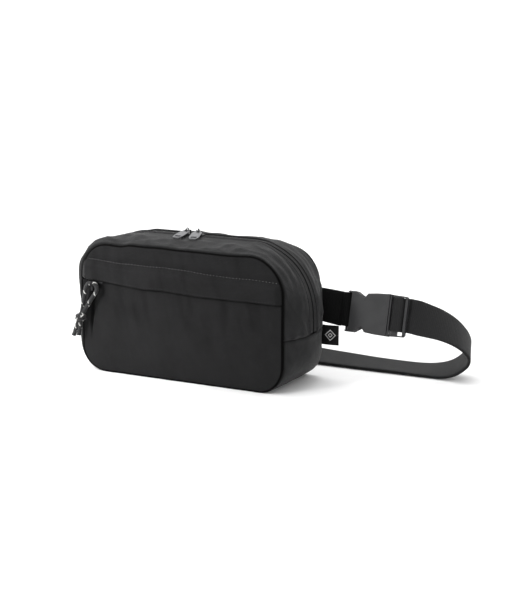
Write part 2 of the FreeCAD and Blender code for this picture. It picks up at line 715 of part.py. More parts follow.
def belt():
    """The webbing: a stub that holds the housing, the wrap on the male half, the long run and the tail."""
    front, back = -2.9, 2.9
    joined_x = 127.5
    slot_x = 137.3
    loop = webbing_profile([
        (joined_x, -0.9), (joined_x + 3.4, front), (slot_x, front), (slot_x, back), (joined_x + 3.4, back),
        (joined_x, 0.9),
    ])
    lean = math.radians(BUCKLE_LEAN)
    seam = V(BAG_WIDTH / 2 + 0.2, 41.0, SEAM_WEBBING_Z)
    upright = V(0, math.sin(lean), math.cos(lean))
    seam_end = cross_section(seam, V(0, 0, 1), V(0, 1, 0), WEBBING_WIDTH / 2, 0.9)
    loop_end = cross_section(
        V(joined_x, BUCKLE_Y, BUCKLE_Z) + upright * WEBBING_LIFT,
        upright,
        V(0, math.cos(lean), -math.sin(lean)),
        WEBBING_WIDTH / 2,
        1.6,
    )
    stub = Part.makeLoft([seam_end, loop_end], True, True).fuse(loop).removeSplitter()
    wrap_end = FRAME_END - 0.4
    wrap = webbing_profile([
        (wrap_end, 3.4), (190.0, 3.4), (187.0, front), (179.7, front), (179.0, 4.9), (wrap_end, 5.2),
    ])
    half_gap = LAYER_SPACING / 2
    return {
        "strap_stub": stub,
        "strap_adjuster_wrap": wrap,
        "strap_loop": ribbon(BELT_RIGHT + BELT_BEHIND, half_gap),
        "strap_tail": ribbon(BELT_RIGHT, -half_gap),
        "strap_left": ribbon(BELT_LEFT, half_gap),
    }


def label_tag():
    """A folded fabric tag caught in the right rear seam."""
    x = BAG_WIDTH / 2 + 0.1
    y = BAG_DEPTH / 2
    return box((x, y - TAG_THICK / 2, TAG_LOW), (x + TAG_WIDTH, y + TAG_THICK / 2, TAG_HIGH))


def all_nodes():
    nodes = {}
    for group in (gusset(), seams(), panels(), pocket_zip(), main_zip(), main_sliders(), pocket_slider()):
        nodes.update(group)
    nodes.update(pull_cord())
    nodes.update(belt())
    nodes["pocket_lining"] = pocket_lining()
    nodes["buckle_housing"] = buckle_housing()
    nodes["buckle_male_frame"] = buckle_male()
    nodes["buckle_prong_upper"] = buckle_prong(1)
    nodes["buckle_prong_lower"] = buckle_prong(-1)
    nodes["label_tag"] = label_tag()
    return nodes


def main():
    os.makedirs("parts", exist_ok=True)
    for name, shape in all_nodes().items():
        shape.exportStep(os.path.join("parts", name + ".step"))
        print(name, "valid", shape.isValid(), "solids", len(shape.Solids), "volume", round(shape.Volume, 1))


main()
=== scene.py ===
from functools import cached_property
from math import cos, pi, radians, sin, sqrt

import bpy
import numpy as np
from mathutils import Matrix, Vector, noise


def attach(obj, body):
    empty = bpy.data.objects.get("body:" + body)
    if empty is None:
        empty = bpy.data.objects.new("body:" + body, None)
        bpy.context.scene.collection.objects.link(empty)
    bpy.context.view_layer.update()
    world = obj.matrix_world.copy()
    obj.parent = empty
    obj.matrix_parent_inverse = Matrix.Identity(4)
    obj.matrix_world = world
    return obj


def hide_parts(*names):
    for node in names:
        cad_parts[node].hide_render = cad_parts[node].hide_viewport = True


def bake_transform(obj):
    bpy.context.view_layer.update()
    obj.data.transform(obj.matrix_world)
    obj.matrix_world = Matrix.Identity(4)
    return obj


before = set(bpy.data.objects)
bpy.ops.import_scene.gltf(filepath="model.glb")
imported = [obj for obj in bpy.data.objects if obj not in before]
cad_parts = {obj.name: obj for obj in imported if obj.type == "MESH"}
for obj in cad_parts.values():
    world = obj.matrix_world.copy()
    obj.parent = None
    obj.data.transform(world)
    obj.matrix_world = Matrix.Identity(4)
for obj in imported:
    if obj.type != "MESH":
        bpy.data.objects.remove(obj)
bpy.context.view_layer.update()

# Lengths here are in millimetres and become metres when a mesh is made. +Z is up and the front is -Y.
MM = 0.001

# The bag's form, as in the CAD model but for its rear slump, the tape's edge and the padding's inset
HALF_WIDTH = 108.5
HEIGHT = 126.5
HALF_DEPTH = 40.75
LOW_RADIUS = 25.0
HIGH_RADIUS = 33.4
SIDE_BULGE = 12.0
TOP_BULGE = 8.5
LOW_GROWTH = 15.0
HIGH_GROWTH = 34.6
SIDE_SEAM_Z = 51.0
REAR_SLUMP = 0.05
ZIP_OPENING = 6.4
TAPE_DEPTH = 1.7
TAPE_EDGE = 0.6
PADDING_INSET = 9.0
BAG_MIDDLE = (0.0, 0.0, 60.0)
SIDES = (("front", -1), ("rear", 1))

# The front's lines
PANEL_FACE = -HALF_DEPTH - 0.5
POCKET_TOP_Z = 89.2
FLAP_EDGE = [
    (-110.0, 91.4), (-98.0, 90.6), (-87.0, 89.0), (-42.0, 86.0), (7.0, 84.7), (50.0, 84.3), (110.0, 83.8),
]
STITCH_Z = 106.9
STITCH_SLOPE = -0.026
HEM_STITCH_RISE = 1.9
ZIP_STITCH_OFFSET = 2.3
FLAP_OUT = 3.55
FLAP_FREE_Z = 100.0
FLAP_GRID_LOW = 80.0

# Belt and buckle
WEBBING_WIDTH = 32.0
WEBBING_THICK = 1.4
LAYER_OFFSET = 0.9
BUCKLE_LEAN = radians(15.0)
BUCKLE_Y = 44.5
BUCKLE_Z = 65.4
WEBBING_LIFT = 1.6
SEAM_WEBBING_Z = 70.2

# The tag
TAG_WIDTH = 16.6
TAG_LOW = 31.5
TAG_HIGH = 50.6
TAG_HALF_GAP = 0.42


# ---------------- camera, floor and light

def new_object(name, data):
    """An object in the scene."""
    obj = bpy.data.objects.new(name, data)
    bpy.context.scene.collection.objects.link(obj)
    return obj


def aim(obj, target):
    """Points an object's -Z axis at a place."""
    direction = Vector(target) - obj.location
    obj.rotation_euler = direction.to_track_quat("-Z", "Y").to_euler()


def add_camera():
    """The photograph's view: a long lens, a little to the right of the front and a little above."""
    azimuth, elevation, distance = radians(27.79), radians(12.28), 1.4877
    target = Vector((0.0637, 0.0, 0.0716))
    back = Vector((sin(azimuth) * cos(elevation), -cos(azimuth) * cos(elevation), sin(elevation)))
    data = bpy.data.cameras.new("camera")
    data.lens = 93.6
    data.sensor_width = 36.0
    camera = new_object("camera", data)
    camera.location = target + back * distance
    aim(camera, target)
    bpy.context.scene.camera = camera


def add_light(name, kind, power, place):
    data = bpy.data.lights.new(name, kind)
    data.energy = power
    light = new_object(name, data)
    light.location = place
    return light


def add_studio():
    """A pale floor, a soft key lamp at the left front, and a broad overhead light that keeps the floor
    white."""
    scene = bpy.context.scene
    scene.view_settings.view_transform = "Standard"
    world = bpy.data.worlds.new("studio")
    world.use_nodes = True
    background = world.node_tree.nodes["Background"]
    background.inputs["Color"].default_value = (1.0, 1.0, 1.0, 1.0)
    background.inputs["Strength"].default_value = 1.0
    scene.world = world
    key = add_light("key", "AREA", 0.66, (-0.45, -0.95, 0.55))
    key.data.shape = "DISK"
    key.data.size = 0.3
    key.data.spread = radians(32.0)
    aim(key, (-0.17, 0.0, 0.085))
    overhead = add_light("overhead", "SUN", 1.75, (0.0, 0.0, 2.0))
    overhead.data.angle = radians(75.0)
    overhead.rotation_euler = (0.0, radians(-24.0), 0.0)
    reach = 30.0
    corners = [(-reach, -reach, 0), (reach, -reach, 0), (reach, reach, 0), (-reach, reach, 0)]
    floor = raw_mesh("floor", corners, [(0, 1, 2, 3)], smooth=False)
    floor.data.materials.append(floor_material())


# ---------------- mesh helpers

def raw_mesh(name, verts, faces, smooth=True):
    """An object from vertices in metres."""
    data = bpy.data.meshes.new(name)
    data.from_pydata([tuple(v) for v in verts], [], faces)
    data.update()
    data.polygons.foreach_set("use_smooth", [smooth] * len(data.polygons))
    return new_object(name, data)


def set_uv(obj, uv):
    """One UV per vertex, in millimetres, for the materials' weaves."""
    layer = obj.data.uv_layers.new(name="weave")
    index = np.zeros(len(obj.data.loops), dtype=np.int32)
    obj.data.loops.foreach_get("vertex_index", index)
    layer.data.foreach_set("uv", np.asarray(uv, dtype=np.float32)[index].ravel())


def finish_piece(obj, look, body, nodes=()):
    """Gives a piece its material, its body (or None) and the nodes it stands for."""
    obj.data.materials.append(MATERIALS[look])
    if body:
        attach(obj, body)
    if nodes:
        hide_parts(*nodes)


def grid_faces(rows, columns, wrap=False, start=0):
    """Quads over a grid of vertices, closed round its columns if wrap."""
    faces = []
    for i in range(rows - 1):
        for j in range(columns if wrap else columns - 1):
            k = (j + 1) % columns
            a, b = start + i * columns, start + (i + 1) * columns
            faces.append((a + j, a + k, b + k, b + j))
    return faces


def sheet(name, points, uv, thickness, flip=False):
    """A closed cloth of a grid of points: its outer face, an inner face and the rim between them."""
    rows, columns = points.shape[:2]
    normals = grid_normals(points) * (-1.0 if flip else 1.0)
    inner = points - normals * thickness
    verts = np.concatenate([points.reshape(-1, 3), inner.reshape(-1, 3)]) * MM
    count = rows * columns
    faces = grid_faces(rows, columns) + [f[::-1] for f in grid_faces(rows, columns, start=count)]
    rim = list(range(columns))
    rim += [i * columns + columns - 1 for i in range(1, rows)]
    rim += [(rows - 1) * columns + j for j in range(columns - 2, -1, -1)]
    rim += [i * columns for i in range(rows - 2, 0, -1)]
    faces += [(b, a, a + count, b + count) for a, b in zip(rim, rim[1:] + rim[:1])]
    if flip:
        faces = [f[::-1] for f in faces]
    obj = raw_mesh(name, verts, faces)
    flat_uv = np.asarray(uv).reshape(-1, 2)
    set_uv(obj, np.concatenate([flat_uv, flat_uv]))
    return obj


def unit(vectors):
    """Vectors of an array's last axis, brought to length 1."""
    return vectors / np.maximum(np.linalg.norm(vectors, axis=-1, keepdims=True), 1e-9)


def grid_normals(points):
    return unit(np.cross(np.gradient(points, axis=1), np.gradient(points, axis=0)))


def noise_at(points, scale, seed):
    """Smooth noise from -1 to 1. scale is the size of its features in millimetres, one number or three."""
    size = np.broadcast_to(np.asarray(scale, dtype=float), (3,))
    flat = points.reshape(-1, 3) / size + seed * 17.31
    values = [noise.noise(Vector(p)) for p in flat]
    return np.asarray(values).reshape(points.shape[:-1])


def ridges(points, scale, seed):
    """Noise whose crests are sharper than its hollows, for creases."""
    return 1.0 - 2.0 * np.abs(noise_at(points, scale, seed)) ** 0.7


def ease(low, high, x):
    """0 before low, 1 after high and a smooth rise between. With low above high, it falls."""
    t = np.clip((x - low) / (high - low), 0.0, 1.0)
    return t * t * (3 - 2 * t)


def bell(x, width):
    """1 at x = 0, and near 0 from about twice the width."""
    return np.exp(-(x / width) ** 2)


def slump(points):
    """How the soft bag settles: its rear top corners round off, and the top sinks left of the sliders."""
    x, y, z = np.moveaxis(points, -1, 0)
    beside = np.maximum(np.abs(x) - 48.0, 0.0)
    above = np.maximum(z - 66.0, 0.0)
    corner = np.sin(2 * np.arctan2(above, np.maximum(beside, 1e-6))) ** 1.5
    share = REAR_SLUMP * corner * ease(0.0, 36.0, y)
    moved = points.copy()
    moved[..., 0] -= np.sign(x) * share * beside
    moved[..., 2] -= share * above
    sink = 2.8 * ease(7.0, 18.0, y) + 1.7 * ease(-51.0, -64.0, x)
    moved[..., 2] -= sink * bell(x + 56.0, 26.0) * ease(100.0, 124.0, z)
    return moved


def warp(points):
    """Pulls every soft piece of the bag the same way, so that seams stay joined and aren't ruler-straight.
    It fades out where the sliders run."""
    x, y, z = np.moveaxis(points, -1, 0)
    hold = ease(9.0, 20.0, np.abs(y)) + ease(60.0, 85.0, np.abs(x))
    hold = np.clip(hold, 0.0, 1.0) * ease(0.0, 18.0, z)
    moved = slump(points)
    moved[..., 0] += 0.9 * hold * noise_at(points, 34.0, 1)
    moved[..., 1] += 0.5 * hold * noise_at(points, 40.0, 2) * (np.abs(y) < 39.0)
    moved[..., 2] += 1.1 * hold * noise_at(points, (30.0, 60.0, 40.0), 3)
    moved[..., 2] = np.maximum(moved[..., 2], 0.05)
    return moved


def set_painted_shade(obj, values):
    """How deep in a fold or a seam each vertex lies, 0 to 1: painted shade, which darkens the cloth's
    colour there.
    """
    layer = obj.data.attributes.new("painted_shade", "FLOAT", "POINT")
    flat = np.clip(np.asarray(values, dtype=np.float32).ravel(), 0.0, 1.0)
    layer.data.foreach_set("value", np.concatenate([flat, flat]))


# ---------------- materials

class Nodes:
    """A material's nodes, built by short calls. A value may be a number or another node's output."""

    def __init__(self, name, **sockets):
        self.material = bpy.data.materials.new(name)
        self.material.use_nodes = True
        self.tree = self.material.node_tree
        self.shader = self.tree.nodes["Principled BSDF"]
        for socket, value in sockets.items():
            self.shader.inputs[socket.replace("_", " ")].default_value = value

    def put(self, socket, value):
        if isinstance(value, bpy.types.NodeSocket):
            self.tree.links.new(value, socket)
        elif socket.type == "RGBA":
            socket.default_value = (*value, 1.0)
        else:
            socket.default_value = value

    def new(self, kind):
        return self.tree.nodes.new("ShaderNode" + kind)

    def math(self, operation, a, b=0.0, c=0.0):
        node = self.new("Math")
        node.operation = operation
        for socket, value in zip(node.inputs, (a, b, c)):
            self.put(socket, value)
        return node.outputs[0]

    def line(self, value, slope, start):
        return self.math("MULTIPLY_ADD", value, slope, start)

    def times(self, a, b):
        return self.math("MULTIPLY", a, b)

    def uv(self):
        """The two millimetre coordinates of a piece that has UVs."""
        source = self.new("UVMap")
        source.uv_map = "weave"
        return self.split(source.outputs[0])[:2]

    def painted_shade(self):
        """The painted shade stored on the mesh's vertices, or 0."""
        node = self.new("Attribute")
        node.attribute_name = "painted_shade"
        return node.outputs["Fac"]

    @cached_property
    def place(self):
        """Object coordinates in millimetres, as a vector."""
        source = self.new("TexCoord")
        scaled = self.new("VectorMath")
        scaled.operation = "SCALE"
        self.put(scaled.inputs[0], source.outputs["Object"])
        scaled.inputs["Scale"].default_value = 1.0 / MM
        return scaled.outputs[0]

    def split(self, vector):
        node = self.new("SeparateXYZ")
        self.put(node.inputs[0], vector)
        return node.outputs[0], node.outputs[1], node.outputs[2]

    def cloud(self, size, detail, stretch=None):
        """Noise from about 0.25 to 0.75 with features of a size in millimetres."""
        vector = self.place
        if stretch:
            mapping = self.new("Mapping")
            self.put(mapping.inputs["Vector"], vector)
            mapping.inputs["Scale"].default_value = stretch
            vector = mapping.outputs[0]
        node = self.new("TexNoise")
        self.put(node.inputs["Vector"], vector)
        node.inputs["Scale"].default_value = 1.0 / size
        node.inputs["Detail"].default_value = detail
        return node.outputs[0]

    def mix(self, share, a, b):
        """Colour a where share is 0, and colour b where it is 1."""
        node = self.new("Mix")
        node.data_type = "RGBA"
        self.put(node.inputs[0], share)
        self.put(node.inputs[6], a)
        self.put(node.inputs[7], b)
        return node.outputs[2]

    def scaled_colour(self, colour, factor):
        node = self.new("VectorMath")
        node.operation = "SCALE"
        node.inputs[0].default_value = colour
        self.put(node.inputs["Scale"], factor)
        return node.outputs[0]

    def bump(self, height, depth, below=None):
        """A bump of a depth in millimetres, laid over another."""
        node = self.new("Bump")
        node.inputs["Distance"].default_value = depth * MM
        self.put(node.inputs["Height"], height)
        if below is not None:
            self.put(node.inputs["Normal"], below)
        return node.outputs[0]

    def plain_weave(self, u, v, pitch):
        """The height, 0 to 1, of threads that cross over and under each other."""
        across = self.math("DIVIDE", u, pitch)
        along = self.math("DIVIDE", v, pitch)
        profiles = []
        for t in (across, along):
            offset = self.math("SUBTRACT", self.math("FRACT", t), 0.5)
            square = self.times(offset, offset)
            profiles.append(self.line(square, -4.0, 1.0))
        cell = self.math("ADD", self.math("FLOOR", across), self.math("FLOOR", along))
        over = self.math("FLOORED_MODULO", cell, 2.0)
        first = self.times(profiles[0], over)
        return self.line(profiles[1], self.math("SUBTRACT", 1.0, over), first)

    def done(self, colour, roughness, normal=None):
        self.put(self.shader.inputs["Base Color"], colour)
        self.put(self.shader.inputs["Roughness"], roughness)
        if normal is not None:
            self.put(self.shader.inputs["Normal"], normal)
        return self.material


def fabric_material(name, colour, pitch=0.55, sheen=0.07, weave_depth=0.05, gloss=0.2):
    """Plain-woven polyester: fine threads, faint cloudiness and a little fuzz. Its colour carries painted
    shade, darker in the weave's gaps and in the folds and seams marked on the mesh.
    """
    n = Nodes(name, Sheen_Weight=sheen, Sheen_Roughness=0.45, Specular_IOR_Level=gloss)
    u, v = n.uv()
    weave = n.plain_weave(u, v, pitch)
    cloud = n.cloud(26.0, 3.0)
    fleck = n.cloud(0.9, 2.0)
    shade = n.line(cloud, 0.95, 0.38)
    # Painted shade: darker where the threads lie low, in the weave's gaps.
    shade = n.times(shade, n.line(weave, 0.3, 0.8))
    shade = n.times(shade, n.line(fleck, 0.3, 0.85))
    # Painted shade: darker where the mesh marks folds, seams, creases and shadow lines.
    shade = n.times(shade, n.line(n.painted_shade(), -0.97, 1.0))
    rough = n.line(n.painted_shade(), 0.26, n.line(fleck, 0.16, 0.58))
    normal = n.bump(weave, weave_depth)
    normal = n.bump(n.cloud(9.0, 3.0), 0.5, normal)
    return n.done(n.scaled_colour(colour, shade), rough, normal)


def webbing_material(name, colour, sheen=0.07, gloss=0.2):
    """Flat webbing: ribs across its width over a fine weave, with tighter edges. Its colour carries painted
    shade: darker where ribs and threads lie low, lighter at the raised edges.
    """
    n = Nodes(name, Sheen_Weight=sheen, Sheen_Roughness=0.5, Specular_IOR_Level=gloss)
    u, v = n.uv()
    rib = n.math("SINE", n.times(u, 2 * pi / 1.7))
    weave = n.plain_weave(u, v, 0.85)
    height = n.line(rib, 0.5, weave)
    edge = n.math("GREATER_THAN", n.math("ABSOLUTE", v), WEBBING_WIDTH / 2 - 1.3)
    height = n.line(edge, 0.5, height)
    cloud = n.cloud(12.0, 3.0)
    rubbed = n.line(cloud, 0.6, 0.6)
    # Painted shade: darker in the rib valleys and the weave's gaps, lighter along the raised edges.
    shade = n.times(rubbed, n.line(height, 0.5, 0.6))
    rough = n.line(cloud, 0.2, 0.58)
    return n.done(n.scaled_colour(colour, shade), rough, n.bump(height, 0.16))


def thread_material(name, colour):
    """Spun thread, with fine fibres."""
    n = Nodes(name, Specular_IOR_Level=0.3)
    fine = n.cloud(0.35, 2.0)
    shade = n.line(fine, 0.8, 0.6)
    return n.done(n.scaled_colour(colour, shade), n.line(fine, 0.2, 0.5), n.bump(fine, 0.05))


def plastic_material(name, colour):
    """Moulded acetal with a fine spark-eroded grain, smoother and lighter where hands rub it."""
    n = Nodes(name, Specular_IOR_Level=0.3)
    grain = n.cloud(0.35, 2.0)
    wear = n.cloud(14.0, 4.0)
    shade = n.line(wear, 0.35, 0.82)
    rough = n.math("ADD", n.times(wear, -0.22), n.line(grain, 0.1, 0.53))
    return n.done(n.scaled_colour(colour, shade), rough, n.bump(grain, 0.025))


def metal_material(name, colour, roughness):
    """Plated zinc: small dents, fine scratches along X and duller hollows."""
    n = Nodes(name, Metallic=1.0)
    scratch = n.cloud(0.5, 3.0, (0.12, 1.0, 1.0))
    patch = n.cloud(2.4, 3.0)
    shade = n.line(patch, 0.7, 0.62)
    rough = n.line(scratch, 0.25, roughness - 0.1)
    return n.done(n.scaled_colour(colour, shade), rough, n.bump(scratch, 0.02))


def coil_material(name, colour):
    """A nylon coil: round turns across the tape's length, with painted shade between the turns."""
    n = Nodes(name, Specular_IOR_Level=0.4)
    x, _, z = n.split(n.place)
    turn = n.math("SINE", n.times(n.math("ADD", x, z), 2 * pi / 1.3))
    # Painted shade: darker between the coil's turns.
    shade = n.line(turn, 0.35, 0.75)
    rough = n.line(turn, -0.08, 0.42)
    return n.done(n.scaled_colour(colour, shade), rough, n.bump(turn, 0.25))


def cad_cloth_material(name, colour, pitch):
    """A weave for a CAD node, which has no UVs: it is laid over all three directions."""
    n = Nodes(name, Specular_IOR_Level=0.25)
    x, y, z = n.split(n.place)
    weave = n.plain_weave(n.math("ADD", x, y), z, pitch)
    cloud = n.cloud(9.0, 3.0)
    patches = n.line(cloud, 0.5, 0.65)
    # Painted shade: darker where the threads lie low, in the weave's gaps.
    shade = n.times(patches, n.line(weave, 0.3, 0.8))
    rough = n.line(cloud, 0.2, 0.6)
    return n.done(n.scaled_colour(colour, shade), rough, n.bump(weave, 0.06))


def cord_material(name, dark, light):
    """Braided cord: crossing strands, with a light tracer that shows as short slanting flecks. The UV is
    the length along the cord and the share of a turn round it."""
    n = Nodes(name, Sheen_Weight=0.1, Specular_IOR_Level=0.3)
    u, v = n.uv()
    strands = []
    for turns in (4.0, -4.0):
        phase = n.line(v, turns, n.math("DIVIDE", u, 1.5))
        strands.append(n.math("SINE", n.times(phase, 2 * pi)))
    braid = n.math("MAXIMUM", *strands)
    spiral = n.math("FRACT", n.math("ADD", v, n.math("DIVIDE", u, 12.5)))
    stripe = n.math("LESS_THAN", spiral, 0.13)
    dash = n.math("GREATER_THAN", n.math("FRACT", n.math("DIVIDE", u, 5.2)), 0.35)
    fleck = n.times(stripe, dash)
    fleck = n.times(fleck, n.math("GREATER_THAN", braid, -0.2))
    # Painted shade: darker between the strands' crests, in the braid's valleys.
    shade = n.line(braid, 0.3, 0.75)
    colour = n.mix(fleck, dark, light)
    braid_shaded_colour = n.mix(shade, (0.0, 0.0, 0.0), colour)
    return n.done(braid_shaded_colour, n.line(braid, 0.08, 0.62), n.bump(braid, 0.2))


def floor_material():
    """A pale studio floor with faint dust."""
    n = Nodes("studio_floor", Specular_IOR_Level=0.1)
    dust = n.cloud(90.0, 2.0)
    shade = n.line(dust, 0.02, 0.98)
    return n.done(n.scaled_colour((0.95, 0.95, 0.95), shade), n.line(dust, 0.05, 0.8))


MATERIALS = {
    "shell": fabric_material("shell_fabric", (0.0074, 0.0074, 0.008)),
    # A darker copy of the shell fabric, with less sheen and gloss: painted shade on the front panel and
    # flap.
    "front": fabric_material("front_fabric_painted_shade", (0.0062, 0.0062, 0.0066), sheen=0.045, gloss=0.13),
    "back": fabric_material("back_fabric", (0.0085, 0.0085, 0.009), pitch=1.3, weave_depth=0.22),
    "tape": fabric_material("zip_tape", (0.0072, 0.0072, 0.0077), pitch=0.9, sheen=0.05, weave_depth=0.08),
    # Near black, without sheen: painted shade in the seam's groove.
    "welt": fabric_material("seam_cloth_painted_shade", (0.0008, 0.0008, 0.0008), pitch=0.6, sheen=0.0, gloss=0.04),
    "label": fabric_material("label_satin", (0.002, 0.002, 0.002), pitch=0.3, sheen=0.05, weave_depth=0.03),
    "webbing": webbing_material("webbing", (0.0095, 0.0095, 0.01)),
    # A darker copy of the webbing, with less sheen and gloss: painted shade on the stub.
    "stub_webbing_painted_shade": webbing_material("stub_webbing_painted_shade", (0.0022, 0.0022, 0.0023), sheen=0.01, gloss=0.09),
    "light_thread": thread_material("light_thread", (0.17, 0.17, 0.17)),
    "dark_thread": thread_material("dark_thread", (0.001, 0.001, 0.001)),
    "shell_thread": thread_material("shell_thread", (0.016, 0.016, 0.017)),
    "mark_thread": thread_material("mark_thread", (0.62, 0.62, 0.62)),
    "plastic": plastic_material("buckle_plastic", (0.019, 0.019, 0.02)),
    "metal": metal_material("plated_metal", (0.24, 0.24, 0.25), 0.27),
    "dark_metal": metal_material("slider_metal", (0.03, 0.03, 0.031), 0.36),
    "coil": coil_material("zip_coil", (0.004, 0.004, 0.004)),
    "lining": cad_cloth_material("lining_cloth", (0.03, 0.03, 0.032), 0.6),
    "foam": cad_cloth_material("foam", (0.05, 0.05, 0.05), 2.5),
    "cord": cord_material("cord", (0.007, 0.007, 0.0075), (0.55, 0.55, 0.53)),
}


# ---------------- the pull cord

# The same route as in part.py, in metres
CORD_DIAMETER = 0.004
CORD_EYE = (-0.0915, -0.04835, 0.0874)
OUTER_STRAND = [
    CORD_EYE, (-0.0943, -0.04835, 0.0874), (-0.0967, -0.04835, 0.086), (-0.0989, -0.0482, 0.082),
    (-0.1006, -0.0479, 0.0758), (-0.1024, -0.0477, 0.0688), (-0.1031, -0.0479, 0.0616),
    (-0.1052, -0.0482, 0.0544), (-0.1089, -0.048, 0.0474), (-0.1115, -0.0483, 0.0408),
    (-0.1138, -0.0481, 0.0344),
]
INNER_STRAND = [
    CORD_EYE, (-0.0893, -0.04835, 0.0874), (-0.0874, -0.04835, 0.0863), (-0.0862, -0.04835, 0.0845),
    (-0.086, -0.0482, 0.0823), (-0.0873, -0.0481, 0.079), (-0.0902, -0.048, 0.0755),
    (-0.094, -0.0478, 0.0699), (-0.099, -0.0479, 0.0632), (-0.104, -0.0481, 0.0556),
    (-0.1058, -0.0479, 0.048), (-0.1067, -0.0482, 0.0414), (-0.1085, -0.048, 0.0352),
]
KNOT_CENTRE = (-105.5, -48.0, 53.0)


def spline_points(name, route):
    """The NURBS spline's own line through a route, as points in metres."""
    data = bpy.data.curves.new(name, "CURVE")
    data.dimensions = "3D"
    data.resolution_u = 12
    spline = data.splines.new("NURBS")
    spline.points.add(len(route) - 1)
    for point, place in zip(spline.points, route):
        point.co = (*place, 1.0)
    spline.order_u = 3
    spline.use_endpoint_u = True
    obj = new_object(name, data)
    bpy.context.view_layer.update()
    mesh = bpy.data.meshes.new_from_object(obj)
    points = [tuple(v.co) for v in mesh.vertices]
    bpy.data.meshes.remove(mesh)
    bpy.data.objects.remove(obj)
    return points


def tube(name, path, radius, sides=20, flare=0.0, first_side=(0.0, -1.0, 0.0)):
    """A round tube along points in metres. Its UV is millimetres along it and the share of a turn. The last
    piece widens by flare, as a melted cord end does."""
    path = [Vector(p) for p in path]
    lengths = [0.0]
    for a, b in zip(path, path[1:]):
        lengths.append(lengths[-1] + (b - a).length)
    verts, uv = [], []
    side = Vector(first_side)
    for i, centre in enumerate(path):
        along = (path[min(i + 1, len(path) - 1)] - path[max(i - 1, 0)]).normalized()
        side = (side - along * side.dot(along)).normalized()
        other = along.cross(side)
        left = lengths[-1] - lengths[i]
        size = radius * (1.0 + flare * max(0.0, 1.0 - left / (1.6 * MM)))
        for j in range(sides + 1):
            turn = 2 * pi * j / sides
            verts.append(centre + (side * cos(turn) + other * sin(turn)) * size)
            uv.append((lengths[i] / MM, j / sides))
    faces = grid_faces(len(path), sides + 1)
    for i in (0, len(path) - 1):
        tip = len(verts)
        verts.append(path[i])
        uv.append((lengths[i] / MM, 0.5))
        for a in range(i * (sides + 1), i * (sides + 1) + sides):
            faces.append((tip, a + 1, a) if i == 0 else (tip, a, a + 1))
    obj = raw_mesh(name, verts, faces)
    set_uv(obj, uv)
    return obj


def knot_path():
    """The turns of the overhand knot: two strands wrapped round both cords, tucked in at each end."""
    centre = Vector(KNOT_CENTRE)
    axis = Vector((0.17, 0.0, 1.0)).normalized()
    side = axis.cross(Vector((0.0, 1.0, 0.0))).normalized()
    front = side.cross(axis)
    points = []
    for t in np.linspace(0.0, 1.0, 91).tolist():
        angle = 2 * pi * (2.35 * t) + 0.6
        reach = 3.3 * min(1.0, 0.25 + 5.0 * t, 0.25 + 5.0 * (1 - t))
        rise = 2.9 - 5.8 * t + 0.35 * sin(2 * angle)
        offset = side * (cos(angle) * reach) + front * (sin(angle) * reach) + axis * rise
        points.append((centre + offset) * MM)
    return points


def add_pull_cord():
    knot = tube("cord_knot", knot_path(), 0.00195)
    finish_piece(knot, "cord", "pocket_pull", ["pull_cord_knot"])
    for name, route, length in (("outer", OUTER_STRAND, 0.0602), ("inner", INNER_STRAND, 0.0618)):
        path = spline_points("route_" + name, route)
        strand = tube("cord_" + name, path, CORD_DIAMETER / 2, flare=0.18)
        finish_piece(strand, "cord", "pocket_pull", ["pull_cord_" + name])


# ---------------- the bag

def section(y, left):
    """Half width, height, lower and upper corner radius of the bag's outline at a depth. The left side is
    blown out more beside its seams."""
    share = abs(y / HALF_DEPTH)
    fullness = 1 - share ** 2
    side_fullness = 1 - share ** (4 if left else 2)
    corner = fullness ** 2 if left else fullness
    return (
        HALF_WIDTH + (SIDE_BULGE + (0.8 if left else 0.0)) * side_fullness,
        HEIGHT + TOP_BULGE * fullness,
        LOW_RADIUS + LOW_GROWTH * corner,
        HIGH_RADIUS + HIGH_GROWTH * corner,
    )


def strip_point(t, y, upper, inset=0.0):
    """A point of the gusset. t runs from -1 at the right side seam over the top (or the bottom) to +1 at
    the left one. inset moves the point in from the surface."""
    half_width, height, low_radius, high_radius = section(y, t > 0)
    radius = high_radius if upper else low_radius
    corner_start, corner_end = (0.17, 0.63) if upper else (0.12, 0.46)
    share = 1 - abs(t)
    corner_x = half_width - radius
    corner_z = height - radius if upper else radius
    if share < corner_start:
        x = half_width - inset
        z = SIDE_SEAM_Z + (corner_z - SIDE_SEAM_Z) * share / corner_start
    elif share < corner_end:
        angle = pi / 2 * (share - corner_start) / (corner_end - corner_start)
        x = corner_x + (radius - inset) * cos(angle)
        rise = (radius - inset) * sin(angle)
        z = corner_z + rise if upper else corner_z - rise
    else:
        x = corner_x * (1 - (share - corner_end) / (1 - corner_end))
        z = height - inset if upper else inset
    return (-x if t > 0 else x, y, z)


def arc_lengths(points):
    """How far along a line each of its points is."""
    steps = np.linalg.norm(np.diff(points, axis=0), axis=1)
    return np.concatenate([[0.0], np.cumsum(steps)])


def value_at(values, lengths, place):
    """The row of three numbers at one length along a line, or at several."""
    return np.stack([np.interp(place, lengths, values[:, k]) for k in range(3)], axis=-1)


def strip_grid(depths, upper, count):
    """The gusset's points, rows along the strip and columns across it, with their millimetre UVs."""
    ts = np.linspace(-1.0, 1.0, count)
    points = np.array([[strip_point(t, y, upper) for y in depths] for t in ts])
    lengths = arc_lengths(points[:, len(depths) // 2])
    return points, np.stack(np.broadcast_arrays(lengths[:, None], depths), axis=2)


def near_edges(low, high, count):
    """Places from low to high that crowd towards both ends."""
    t = np.linspace(0.0, 1.0, count)
    eased = t - 0.75 * np.sin(2 * pi * t) / (2 * pi)
    return low + (high - low) * eased


